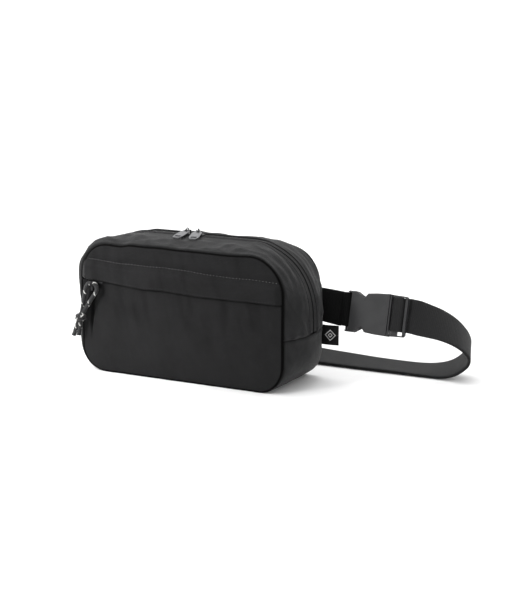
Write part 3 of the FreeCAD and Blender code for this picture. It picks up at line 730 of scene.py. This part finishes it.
def gusset_relief(points, upper):
    """How far the gusset's cloth stands out: it sinks at its seams and carries folds between them."""
    x, y, z = np.moveaxis(points, -1, 0)
    x, y = np.abs(x), np.abs(y)
    seam = -1.5 * bell(HALF_DEPTH - 0.4 - y, 1.3)
    swell = SIDE_SEAM_Z + (3.0 if upper else -3.0)
    side_seam = -0.9 * bell(z - SIDE_SEAM_Z, 1.1) + 0.35 * bell(z - swell, 1.8)
    free = ease(0.0, 9.0, HALF_DEPTH - y)
    relief = seam + side_seam
    if upper:
        fold = -0.9 * bell(y - ZIP_OPENING, 0.6) + 0.3 * bell(y - ZIP_OPENING - 1.0, 0.8)
        stitched = -0.28 * bell(y - ZIP_OPENING - ZIP_STITCH_OFFSET, 0.5)
        free = free * ease(0.5, 7.0, y - ZIP_OPENING)
        under_tabs = ease(66.0, 56.0, x) * ease(24.0, 15.0, y)
        free = free * (1.0 - 0.9 * under_tabs)
        relief -= 0.8 * under_tabs * ease(0.5, 4.0, y - ZIP_OPENING)
        side = ease(70.0, 105.0, x)
        along = noise_at(points, (26.0, 9.0, 34.0), 5) * (0.6 + 0.9 * side)
        crease = ridges(points + points[..., [1, 2, 0]] * 0.6, (21.0, 17.0, 26.0), 6)
        relief += fold + stitched + free * (1.2 * along + 0.75 * crease)
    else:
        lift = ease(2.0, 25.0, z)
        relief += free * lift * (1.1 * noise_at(points, (24.0, 20.0, 16.0), 8))
        relief += free * (1 - lift) * 0.15 * noise_at(points, 18.0, 9)
    return relief


def outward_normals(points):
    """Unit normals that all look away from the bag's middle."""
    normals = grid_normals(points)
    return normals * np.sign((normals * (points - BAG_MIDDLE)).sum(axis=2, keepdims=True))


def gusset_painted_shade(points, upper):
    """Painted shade on the gusset: along its seams, in the fold beside the zip, in its wrinkles' valleys
    and on the narrow band left of the front."""
    x, y, z = np.moveaxis(points, -1, 0)
    line = bell(HALF_DEPTH - 0.6 - np.abs(y), 1.1) + 0.8 * bell(z - SIDE_SEAM_Z, 0.8)
    if upper:
        line = line + 0.4 * bell(np.abs(y) - ZIP_OPENING, 0.5)
    valleys = np.clip(noise_at(points + 0.5 * points[..., [1, 2, 0]], (11.0, 9.0, 13.0), 27), 0.0, 1.0)
    # Painted shade: a dark band on the gusset's left side beside the front seam.
    left_side_shade = 0.85 * ease(-98.0, -108.0, x) * ease(-14.0, -32.0, y)
    return line + 0.4 * valleys + left_side_shade


def add_cloth(name, points, uv, thickness, painted_shade, look, nodes):
    """A warped fabric piece of the bag, whose outer face looks away from the bag's middle."""
    points = warp(points)
    outward = (grid_normals(points) * (points - BAG_MIDDLE)).sum() > 0
    piece = sheet(name, points, uv, thickness, flip=not outward)
    set_painted_shade(piece, painted_shade)
    finish_piece(piece, look, "bag", nodes)


def add_gusset_strip(name, depths, upper, count, node):
    points, uv = strip_grid(depths, upper, count)
    painted_shade = gusset_painted_shade(points, upper)
    points = points + outward_normals(points) * gusset_relief(points, upper)[..., None]
    add_cloth("gusset_" + name, points, uv, 0.9, painted_shade, "shell", [node])


def add_gusset():
    outer_edge = HALF_DEPTH - 0.9
    for name, side in SIDES:
        depths = side * near_edges(ZIP_OPENING, outer_edge, 34)
        add_gusset_strip(name, depths, True, 300, "gusset_top_" + name)
    add_gusset_strip("lower", near_edges(-outer_edge, outer_edge, 60), False, 260, "gusset_bottom")


def outline_half(z):
    """Half the front panel's width at a height."""
    low = z < HEIGHT / 2
    radius = LOW_RADIUS if low else HIGH_RADIUS
    past = max(0.0, radius - z if low else z - (HEIGHT - radius))
    return HALF_WIDTH - radius + sqrt(max(0.0, radius ** 2 - past ** 2))


def edge_distance(x, z):
    """How far inside the front panel's outline a point is."""
    low = z < HEIGHT / 2
    radius = np.where(low, LOW_RADIUS, HIGH_RADIUS)
    past_x = np.abs(x) - (HALF_WIDTH - radius)
    past_z = np.where(low, radius - z, z - (HEIGHT - radius))
    outside = np.hypot(np.maximum(past_x, 0), np.maximum(past_z, 0))
    return radius - outside - np.minimum(np.maximum(past_x, past_z), 0)


def panel_heights(low, high):
    """Heights for a panel's rows: close together round the corners and at the ends."""
    rows = [low + (high - low) * k / 199 for k in range(200)]
    for degrees in range(0, 60, 3):
        share = 1 - cos(radians(degrees))
        rows += [LOW_RADIUS * share, HEIGHT - HIGH_RADIUS * share]
    rows = sorted(set(round(z, 3) for z in rows if low <= z <= high))
    kept = rows[:1]
    for z in rows[1:]:
        if z - kept[-1] > 0.12:
            kept.append(z)
    kept[-1] = high
    return kept


def panel_grid(low, high, count=170, trim=0.5):
    """Rows of points over the front panel's outline between two heights, drawn in by trim."""
    shares = near_edges(-1.0, 1.0, count)
    rows = []
    for z in panel_heights(low, high):
        half = max(outline_half(z) - trim, 1.0)
        rows.append([(share * half, 0.0, min(max(z, trim), HEIGHT - trim)) for share in shares])
    return np.array(rows)


def flap_edge_z(x):
    """The height of the flap's free edge."""
    xs, zs = zip(*FLAP_EDGE)
    return np.interp(x, xs, zs)


def front_places(x, z):
    """Points over the front, for noise that doesn't vary with depth."""
    return np.stack([x, np.zeros_like(x), z], axis=-1)


def seam_roll(distance):
    """How far a panel's cloth turns in along its seam."""
    return 1.6 * bell(distance, 1.2)


def seam_shade(distance):
    """The painted shade line of a panel along its seam."""
    return bell(distance - 0.4, 1.1)


def crease_share(x, z):
    """The deep fold that the cord's pull draws into the pocket's left end, 1 along its bottom."""
    below = np.clip(90.0 - z, 0.0, 60.0)
    line = -90.5 - 0.26 * below + 0.0024 * below ** 2
    width = 0.9 + 4.3 * ease(30.0, 92.0, z)
    side = np.where(x > line, 0.85, 1.5)
    return bell((x - line) * side, width)


def wrinkle_shade(x, z, seed):
    """Faint painted shade: dark streaks in the valleys of the cloth's upright wrinkles."""
    points = front_places(x + 0.25 * z, z)
    streaks = np.clip(noise_at(points, (7.0, 10.0, 34.0), seed), 0.0, 1.0)
    patches = np.clip(noise_at(points, (26.0, 10.0, 20.0), seed + 1), 0.0, 1.0)
    return 0.45 * streaks + 0.3 * patches


def pocket_painted_shade(x, z):
    """Painted shade on the front: along its seam, in the deep fold, at the left end under the flap, in the
    wrinkles, and the shadow line under the flap's edge.
    """
    fold = 1.15 * crease_share(x, z) ** 0.8 * ease(28.0, 52.0, z)
    under = bell(z - flap_edge_z(x) + 0.3, 1.3)
    mouth = 1.2 * bell(x + 93.0, 8.0) * bell(z - 88.0, 4.5)
    wrinkles = wrinkle_shade(x, z, 21) * ease(20.0, 70.0, z)
    return seam_shade(edge_distance(x, z)) + fold + under + mouth + wrinkles


def pocket_face(x, z):
    """The pocket panel's outer face as a depth: a low cushion with soft upright folds under the flap."""
    distance = edge_distance(x, z)
    points = front_places(x, z)
    puff = 1.4 * ease(0.0, 38.0, distance) * ease(84.0, 62.0, z)
    low = ease(0.0, 11.0, distance)
    upright = noise_at(points, (13.0, 10.0, 46.0), 11) * ease(20.0, 80.0, z)
    broad = noise_at(points, (48.0, 10.0, 36.0), 12)
    folds = low * (0.5 * upright + 0.6 * broad) * ease(86.0, 72.0, z)
    dip = 3.6 * ease(28.0, 60.0, z) * ease(94.0, 88.0, z) * crease_share(x, z)
    return PANEL_FACE - puff - folds + dip + seam_roll(distance)


def flap_face(x, z):
    """The outer face of the front above the flap's free edge. Below the stitch line it stands off the
    pocket, and its ends are caught in the side seams."""
    distance = edge_distance(x, z)
    points = front_places(x, z)
    stitch = STITCH_Z + STITCH_SLOPE * x
    out = FLAP_OUT * ease(0.5, 6.5, stitch - z) * ease(0.5, 7.5, HALF_WIDTH - np.abs(x))
    lift = 1.2 * bell(x + 94.0, 7.0) * ease(8.0, 18.0, stitch - z)
    puff = 1.5 * ease(0.0, 26.0, distance) * ease(0.0, 8.0, z - stitch)
    groove = 0.35 * bell(z - stitch, 0.7)
    broad = noise_at(points, (40.0, 10.0, 26.0), 14)
    upright = noise_at(points, (15.0, 10.0, 30.0), 15)
    folds = ease(0.0, 10.0, distance) * (0.4 * broad + 0.22 * upright)
    folds = folds * (0.2 + 0.8 * ease(99.0, 106.0, z))
    above = z - flap_edge_z(x)
    hem = 0.5 * bell(above, 0.7) - 0.12 * bell(above - HEM_STITCH_RISE, 0.6)
    return PANEL_FACE - 0.2 - out - lift - puff + groove - folds + seam_roll(distance) + hem


def add_front():
    grid = panel_grid(0.0, POCKET_TOP_Z)
    x, z = grid[..., 0], grid[..., 2]
    grid[..., 1] = pocket_face(x, z)
    painted_shade = pocket_painted_shade(x, z)
    add_cloth("pocket_panel", grid, grid[..., [0, 2]], 0.8, painted_shade, "front", ["front_pocket_panel"])

    grid = panel_grid(FLAP_GRID_LOW, HEIGHT)
    x, z = grid[..., 0], grid[..., 2]
    low = flap_edge_z(x)
    raised = low + (FLAP_FREE_Z - low) * (z - FLAP_GRID_LOW) / (FLAP_FREE_Z - FLAP_GRID_LOW)
    grid[..., 2] = np.where(z < FLAP_FREE_Z, raised, z)
    grid[..., 1] = flap_face(x, z)
    # Painted shade along the flap's free edge at its left end.
    hem = 0.75 * bell(z - flap_edge_z(x), 0.9) * ease(-100.0, -85.0, x)
    painted_shade = seam_shade(edge_distance(x, z)) + hem + 0.8 * wrinkle_shade(x, z, 25)
    nodes = ["front_upper_panel", "storm_flap"]
    add_cloth("front_and_flap", grid, grid[..., [0, 2]], 1.0, painted_shade, "front", nodes)


def add_back():
    grid = panel_grid(0.0, HEIGHT)
    distance = edge_distance(grid[..., 0], grid[..., 2])
    puff = 2.6 * ease(0.0, 30.0, distance)
    stitched = 0.7 * bell(distance - PADDING_INSET, 0.8)
    folds = ease(0.0, 12.0, distance) * 0.6 * noise_at(grid, (34.0, 10.0, 30.0), 21)
    grid[..., 1] = -(PANEL_FACE - puff - folds + seam_roll(distance) + stitched)
    # Painted shade along the seam and along the padding's stitch line.
    painted_shade = seam_shade(distance) + 0.8 * bell(distance - PADDING_INSET, 0.8)
    add_cloth("back_cloth", grid, grid[..., [0, 2]], 0.8, painted_shade, "back", ["back_panel"])


def add_padding():
    """The foam behind the back panel, crowned and thinner at its edge."""
    grid = panel_grid(PADDING_INSET, HEIGHT - PADDING_INSET, count=90, trim=PADDING_INSET)
    distance = edge_distance(grid[..., 0], grid[..., 2]) - PADDING_INSET
    thick = 1.4 + 2.4 * ease(0.0, 9.0, distance)
    grid[..., 1] = HALF_DEPTH - 0.7
    points = warp(grid)
    inner = points.copy()
    inner[..., 1] -= thick
    closed = np.concatenate([inner[:, ::-1], points], axis=1)
    rows, columns = closed.shape[:2]
    count = rows * columns
    faces = [face[::-1] for face in grid_faces(rows, columns, wrap=True)]
    faces += [tuple(range(columns)), tuple(range(count - 1, count - columns - 1, -1))]
    foam = raw_mesh("padding", closed.reshape(-1, 3) * MM, faces)
    finish_piece(foam, "foam", "bag", ["back_padding"])


def ring_points(y, inset, spacing=1.6):
    """Points round the seam's outline at a depth, at about a spacing."""
    upper = [strip_point(t, HALF_DEPTH, True, inset) for t in np.linspace(-1, 1, 500)]
    lower = [strip_point(t, HALF_DEPTH, False, inset) for t in np.linspace(1, -1, 500)]
    loop = np.array(upper + lower[1:])
    loop[:, 1] = y
    lengths = arc_lengths(loop)
    return value_at(loop, lengths, np.linspace(0, lengths[-1], int(lengths[-1] / spacing) + 1))


def add_ring(name, side, depth, inset, radius, look, node):
    """A cord of cloth round the seam, at a depth and an inset from its outline."""
    loop = warp(ring_points(side * (HALF_DEPTH - depth), inset))
    ring = tube(name, loop * MM, radius, sides=10, first_side=(0.0, side, 0.0))
    finish_piece(ring, look, "bag", [node])


def add_seams():
    """The ridge of cloth down in the groove round each panel, and the binding inside it."""
    for name, side in SIDES:
        welt, binding = "seam_welt_" + name, "seam_binding_" + name
        # The ridge's cloth is near black: painted shade in the seam's groove.
        add_ring("seam_" + name, side, 0.45, 1.3, 0.00115, "welt", welt)
        add_ring("binding_" + name, side, 4.2, 4.2, 0.0011, "lining", binding)


def add_zip():
    """The main zip's two tapes, close together over the coil."""
    for name, side in SIDES:
        depths = side * np.array([TAPE_EDGE, 0.75, 1.0, 1.5, 2.2, 3.0, 4.0, 5.0, 6.0, 7.2, 8.6])
        ts = np.linspace(-0.985, 0.985, 300)
        points = np.array([[strip_point(t, 0.0, True, TAPE_DEPTH) for _ in depths] for t in ts])
        points[..., 1] = depths
        edge = np.abs(depths) - TAPE_EDGE
        bead = np.minimum(0.35 * bell(edge - 0.7, 0.7) - 0.5 * bell(edge, 0.25), 0.15)
        past = ease(56.0, 76.0, np.abs(points[..., 0]))
        rise = bead + 0.9 * past * (1.0 - 0.5 * bell(edge, 0.5))
        points = points + outward_normals(points) * rise[..., None]
        lengths = arc_lengths(points[:, 0])
        uv = np.stack(np.broadcast_arrays(lengths[:, None], depths), axis=2)
        # Painted shade along the tapes' inner edges, over the coil.
        painted_shade = np.broadcast_to(bell(edge, 0.45), points.shape[:2])
        node = "main_zip_tape_" + name
        add_cloth("zip_tape_" + name, points, uv, 0.5, painted_shade, "tape", [node])


# ---------------- stitching

STITCH_SIDES = 6
STITCH_RINGS = 5
STITCH_SINK = 0.1


def stitch_row(name, places, normals, look, length=2.3, gap=1.1, thick=0.34):
    """A row of thread stitches along points, each a small rounded bead lying on the cloth."""
    lengths = arc_lengths(places)
    verts, faces = [], []
    at = gap
    while at + length < lengths[-1]:
        middle = at + length / 2
        centre = value_at(places, lengths, middle)
        up = value_at(normals, lengths, middle)
        along = unit(value_at(places, lengths, at + length) - value_at(places, lengths, at))
        across = np.cross(up, along)
        start = len(verts)
        for i in range(STITCH_RINGS):
            share = i / (STITCH_RINGS - 1) * 2 - 1
            size = thick * sqrt(1 - 0.96 * share ** 2)
            drop = STITCH_SINK + 0.25 * share ** 2
            for j in range(STITCH_SIDES):
                turn = 2 * pi * j / STITCH_SIDES
                offset = across * cos(turn) * size + up * (sin(turn) * size * 0.8 - drop)
                verts.append((centre + along * share * length / 2 + offset) * MM)
        faces += grid_faces(STITCH_RINGS, STITCH_SIDES, wrap=True, start=start)
        faces.append(tuple(range(start + STITCH_SIDES - 1, start - 1, -1)))
        faces.append(tuple(range(len(verts) - STITCH_SIDES, len(verts))))
        at += length + gap
    finish_piece(raw_mesh(name, verts, faces), look, "bag")


def front_line(xs, zs):
    """A line on the front above the flap's free edge."""
    return warp(np.stack([xs, flap_face(xs, zs), zs], axis=1))


def add_stitching():
    xs = np.linspace(-104.0, 105.0, 500)
    forward = np.tile([0.0, -1.0, 0.0], (len(xs), 1))
    line = front_line(xs, STITCH_Z + STITCH_SLOPE * xs)
    stitch_row("flap_top_stitches", line, forward, "light_thread", thick=0.27)
    line = front_line(xs, flap_edge_z(xs) + HEM_STITCH_RISE)
    stitch_row("flap_hem_stitches", line, forward, "dark_thread", length=1.9, gap=1.3)
    for name, side in SIDES:
        y = side * (ZIP_OPENING + ZIP_STITCH_OFFSET)
        ts = np.linspace(-0.97, 0.97, 600)
        line = np.array([strip_point(t, y, True) for t in ts])
        outward = unit(line - np.array([strip_point(t, y, True, 1.0) for t in ts]))
        line = warp(line + outward * -0.1)
        stitch_row("zip_stitches_" + name, line, outward, "shell_thread", thick=0.3)


# ---------------- belt

# Stations of the belt: x, y, z, and its lean and swing in degrees
BELT_RIGHT = [
    (194.9, 49.1, 65.8, 15.0, 0.0), (201.0, 49.5, 65.0, 17.5, -0.8), (209.2, 53.3, 62.3, 30.0, -5.0),
    (220.2, 60.6, 57.8, 42.0, -9.5), (229.6, 68.5, 51.4, 49.5, -13.5), (236.5, 76.4, 43.4, 54.5, -17.5),
    (239.8, 83.6, 35.0, 58.0, -19.0), (238.6, 89.2, 26.3, 62.0, -16.5), (232.6, 92.4, 17.9, 65.0, -12.0),
    (223.6, 93.9, 10.8, 69.0, -8.5), (211.9, 94.4, 6.3, 75.0, -4.8), (198.4, 94.4, 4.4, 81.0, -2.0),
    (183.9, 94.2, 3.7, 84.0, 0.0), (168.7, 94.1, 3.6, 85.0, 0.0), (140.0, 93.5, 3.7, 84.0, 0.0),
    (110.0, 93.0, 4.4, 82.0, 0.0), (80.0, 93.0, 5.2, 80.0, 0.0), (50.0, 92.8, 6.6, 77.0, 0.0),
]
BELT_LEFT = [
    (28.0, 92.4, 8.3, 74.0, 0.0), (6.0, 91.6, 10.7, 70.5, 0.0), (-10.0, 91.0, 13.0, 67.0, 0.0),
    (-38.0, 89.0, 18.5, 60.0, 0.0), (-64.0, 85.0, 26.0, 51.0, 0.0), (-88.0, 79.0, 35.0, 41.0, 0.0),
    (-107.0, 71.0, 45.0, 31.0, 0.0), (-120.0, 61.0, 55.0, 21.0, 0.0), (-124.2, 51.5, 63.8, 12.0, 0.0),
    (-119.8, 44.9, 68.4, 5.0, 0.0), (-109.6, 42.0, 69.0, 0.0, 0.0),
]


def belt_layer(stations, offset):
    """Frames, each a centre and a cross direction, along stations and at an offset from their line."""
    centres = [Vector(s[:3]) for s in stations]
    layer = []
    for i, station in enumerate(stations):
        lean, swing = radians(station[3]), radians(station[4])
        along = (centres[min(i + 1, len(centres) - 1)] - centres[max(i - 1, 0)]).normalized()
        upright = cos(swing)
        across = Vector((sin(swing), upright * sin(lean), upright * cos(lean)))
        normal = along.cross(across).normalized()
        across = normal.cross(along).normalized()
        layer.append((*(centres[i] + normal * offset), *across))
    return layer


def buckle_point(x, y):
    """The place of the webbing's middle line at x along the belt and y behind the middle of the buckle,
    which leans."""
    lean_y, lean_z = sin(BUCKLE_LEAN), cos(BUCKLE_LEAN)
    place_y = BUCKLE_Y + y * lean_z + WEBBING_LIFT * lean_y
    return Vector((x, place_y, BUCKLE_Z - y * lean_y + WEBBING_LIFT * lean_z))


BUCKLE_ACROSS = Vector((0.0, sin(BUCKLE_LEAN), cos(BUCKLE_LEAN)))


def catmull(points, spacing):
    """A smooth line through points, at about a spacing. A point is a place and any further numbers."""
    points = np.asarray(points, dtype=float)
    padded = np.concatenate([[2 * points[0] - points[1]], points, [2 * points[-1] - points[-2]]])
    out = []
    for i in range(len(points) - 1):
        p0, p1, p2, p3 = padded[i:i + 4]
        steps = max(2, int(np.linalg.norm((p2 - p1)[:3]) / spacing))
        for k in range(steps):
            t = k / steps
            square = (2 * p0 - 5 * p1 + 4 * p2 - p3) * t ** 2
            cube = (3 * p1 - p0 - 3 * p2 + p3) * t ** 3
            out.append(0.5 * (2 * p1 + (p2 - p0) * t + square + cube))
    out.append(points[-1])
    return np.array(out)


def webbing(name, frames, start, ripple):
    """A flat woven strap along frames of centre and cross direction, with rounded edges. start is the
    length at which its UV begins."""
    frames = np.asarray(frames)
    centres = frames[:, :3]
    across = unit(frames[:, 3:])
    normal = unit(np.cross(unit(np.gradient(centres, axis=0)), across))
    lengths = start + arc_lengths(centres)
    half = WEBBING_WIDTH / 2
    thick = WEBBING_THICK / 2
    face = [(s * (half - 0.5), thick * (1.0 if abs(s) < 0.97 else 0.86)) for s in np.linspace(-1, 1, 15)]
    profile = face + [(half - 0.12, thick * 0.55), (half, 0.0), (half - 0.12, -thick * 0.55)]
    profile += [(-v, -h) for v, h in face]
    profile += [(-half + 0.12, -thick * 0.55), (-half, 0.0), (-half + 0.12, thick * 0.55)]
    wave = ripple * noise_at(centres, 19.0, 31)
    verts, uv = [], []
    for i in range(len(centres)):
        for v, h in profile:
            cup = wave[i] * (1 - (v / half) ** 2)
            verts.append((centres[i] + across[i] * v + normal[i] * (h + cup)) * MM)
            uv.append((lengths[i], v))
    count = len(profile)
    faces = [f[::-1] for f in grid_faces(len(centres), count, wrap=True)]
    faces += [tuple(range(count)), tuple(range(len(verts) - 1, len(verts) - count - 1, -1))]
    obj = raw_mesh(name, verts, faces)
    set_uv(obj, uv)
    return obj


WRAP_ROUTE = [
    (193.8, 3.5), (191.6, 3.3), (190.2, 2.0), (189.0, -1.0), (187.6, -2.75), (185.2, -2.95), (182.0, -2.95),
    (180.1, -2.4), (179.3, -0.6), (179.2, 2.4), (180.4, 4.6), (184.5, 5.3), (193.8, 5.3),
]


def nearest(frames, place):
    """The index of the frame whose centre is nearest to a place."""
    return int(np.argmin(np.linalg.norm(frames[:, :3] - np.array(place), axis=1)))


def add_belt():
    """The belt as one strap: its tail, its wrap over the adjuster's bar, and its main run."""
    main = belt_layer(BELT_RIGHT + BELT_LEFT, LAYER_OFFSET)
    tail = belt_layer(BELT_RIGHT, -LAYER_OFFSET)
    wrap = [(*buckle_point(x, y), *BUCKLE_ACROSS) for x, y in WRAP_ROUTE]
    whole = catmull(tail[::-1] + wrap + main, 1.2)
    first = nearest(whole, buckle_point(*WRAP_ROUTE[0]))
    second = nearest(whole, buckle_point(*WRAP_ROUTE[-1]))
    lengths = arc_lengths(whole[:, :3])
    parts = [
        ("belt_tail", whole[:first + 1], 0.0, 0.12, ["strap_tail"]),
        ("belt_wrap", whole[first:second + 1], lengths[first], 0.0, ["strap_adjuster_wrap"]),
        ("belt_main", whole[second:], lengths[second], 0.12, ["strap_loop", "strap_left"]),
    ]
    for name, frames, start, ripple, nodes in parts:
        piece = webbing(name, frames, start, ripple)
        rides = name == "belt_wrap"
        finish_piece(piece, "webbing", "buckle_male" if rides else None, nodes)
        if not rides:
            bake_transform(piece)


def add_stub():
    """The short doubled length sewn into the right rear seam, round the housing's bar and back."""
    seam = Vector((HALF_WIDTH - 1.5, 40.6, SEAM_WEBBING_Z))
    upright = Vector((0.0, 0.0, 1.0))
    joined = buckle_point(127.2, 0.0)
    layers = []
    for side in (-1, 1):
        layer = []
        for share in (0.0, 0.33, 0.66, 1.0):
            centre = seam.lerp(joined, share) + Vector((0.0, side * (0.8 + 0.2 * share), 0.0))
            layer.append((*centre, *upright.lerp(BUCKLE_ACROSS, share)))
        for x, y in ((130.2, 2.5), (134.0, 2.9)):
            layer.append((*buckle_point(x, side * y), *BUCKLE_ACROSS))
        layers.append(layer)
    bend = [(*buckle_point(x, y), *BUCKLE_ACROSS) for x, y in ((136.8, -1.9), (137.5, 0.0), (136.8, 1.9))]
    frames = catmull(layers[0] + bend + layers[1][::-1], 1.0)
    piece = webbing("belt_stub", frames, 0.0, 0.0)
    finish_piece(piece, "stub_webbing_painted_shade", "bag", ["strap_stub"])


# ---------------- label

def tag_point(x, z, out):
    """A point of the tag, which bends a little. out is measured from its middle."""
    share = (x - HALF_WIDTH) / TAG_WIDTH
    return (x, HALF_DEPTH + 1.6 * share ** 2 - 0.5 * sin(share * 3.0) + out, z)


def add_label():
    """A folded satin tag in the right rear seam."""
    xs = np.linspace(HALF_WIDTH - 0.8, HALF_WIDTH + TAG_WIDTH, 24)
    zs = np.linspace(TAG_LOW, TAG_HIGH, 20)
    outline = [(x, -TAG_HALF_GAP) for x in xs]
    for angle in np.linspace(0.3, 2.84, 6):
        fold_x = HALF_WIDTH + TAG_WIDTH + 0.35 * sin(angle)
        outline.append((fold_x, -TAG_HALF_GAP * cos(angle)))
    outline += [(x, TAG_HALF_GAP) for x in xs[::-1]]
    points = np.array([[tag_point(x, z, out) for x, out in outline] for z in zs])
    lengths = arc_lengths(points[0])
    uv = np.stack(np.broadcast_arrays(lengths, zs[:, None]), axis=2)
    tag = sheet("label", points, uv, 0.25)
    finish_piece(tag, "label", "bag", ["label_tag"])


def add_label_mark():
    """A plain woven diamond on the tag: two closed frames, one inside the other."""
    centre_x, centre_z = HALF_WIDTH + 9.0, (TAG_LOW + TAG_HIGH) / 2
    verts, faces = [], []
    for reach in (5.4, 2.3):
        start = len(verts)
        inner = reach - 0.8
        for size, out in ((reach, -0.55), (inner, -0.55), (reach, -0.35), (inner, -0.35)):
            for k in range(4):
                angle = pi / 2 * k
                x, z = centre_x + size * cos(angle), centre_z + size * sin(angle)
                verts.append(tuple(c * MM for c in tag_point(x, z, out)))
        for k in range(4):
            n = (k + 1) % 4
            front, back = (k, n, 4 + n, 4 + k), (8 + n, 8 + k, 12 + k, 12 + n)
            outer, inside = (k, 8 + k, 8 + n, n), (4 + n, 12 + n, 12 + k, 4 + k)
            faces += [[start + corner for corner in face] for face in (front, back, outer, inside)]
    mark = raw_mesh("label_mark", verts, faces, smooth=False)
    finish_piece(mark, "mark_thread", "bag")


# ---------------- CAD nodes that show as they are

CAD_LOOKS = {
    "plastic": ["buckle_housing", "buckle_male_frame", "buckle_prong_upper", "buckle_prong_lower"],
    "metal": ["pull_tab_left", "pull_tab_right"],
    "dark_metal": [
        "main_slider_left", "main_slider_right", "pull_ring_left", "pull_ring_right", "pocket_slider",
        "pocket_pull_link",
    ],
    "coil": ["main_zip_coil_front", "main_zip_coil_rear", "pocket_zip_coil"],
    "lining": [
        "pocket_lining", "zip_end_tab_left", "zip_end_tab_right",
        "pocket_zip_tape_upper", "pocket_zip_tape_lower",
    ],
}


def dress_cad_nodes():
    for look, names in CAD_LOOKS.items():
        for name in names:
            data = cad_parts[name].data
            data.materials.clear()
            data.materials.append(MATERIALS[look])


add_camera()
add_studio()
add_pull_cord()
add_gusset()
add_front()
add_back()
add_padding()
add_seams()
add_zip()
add_stitching()
add_belt()
add_stub()
add_label()
add_label_mark()
dress_cad_nodes()
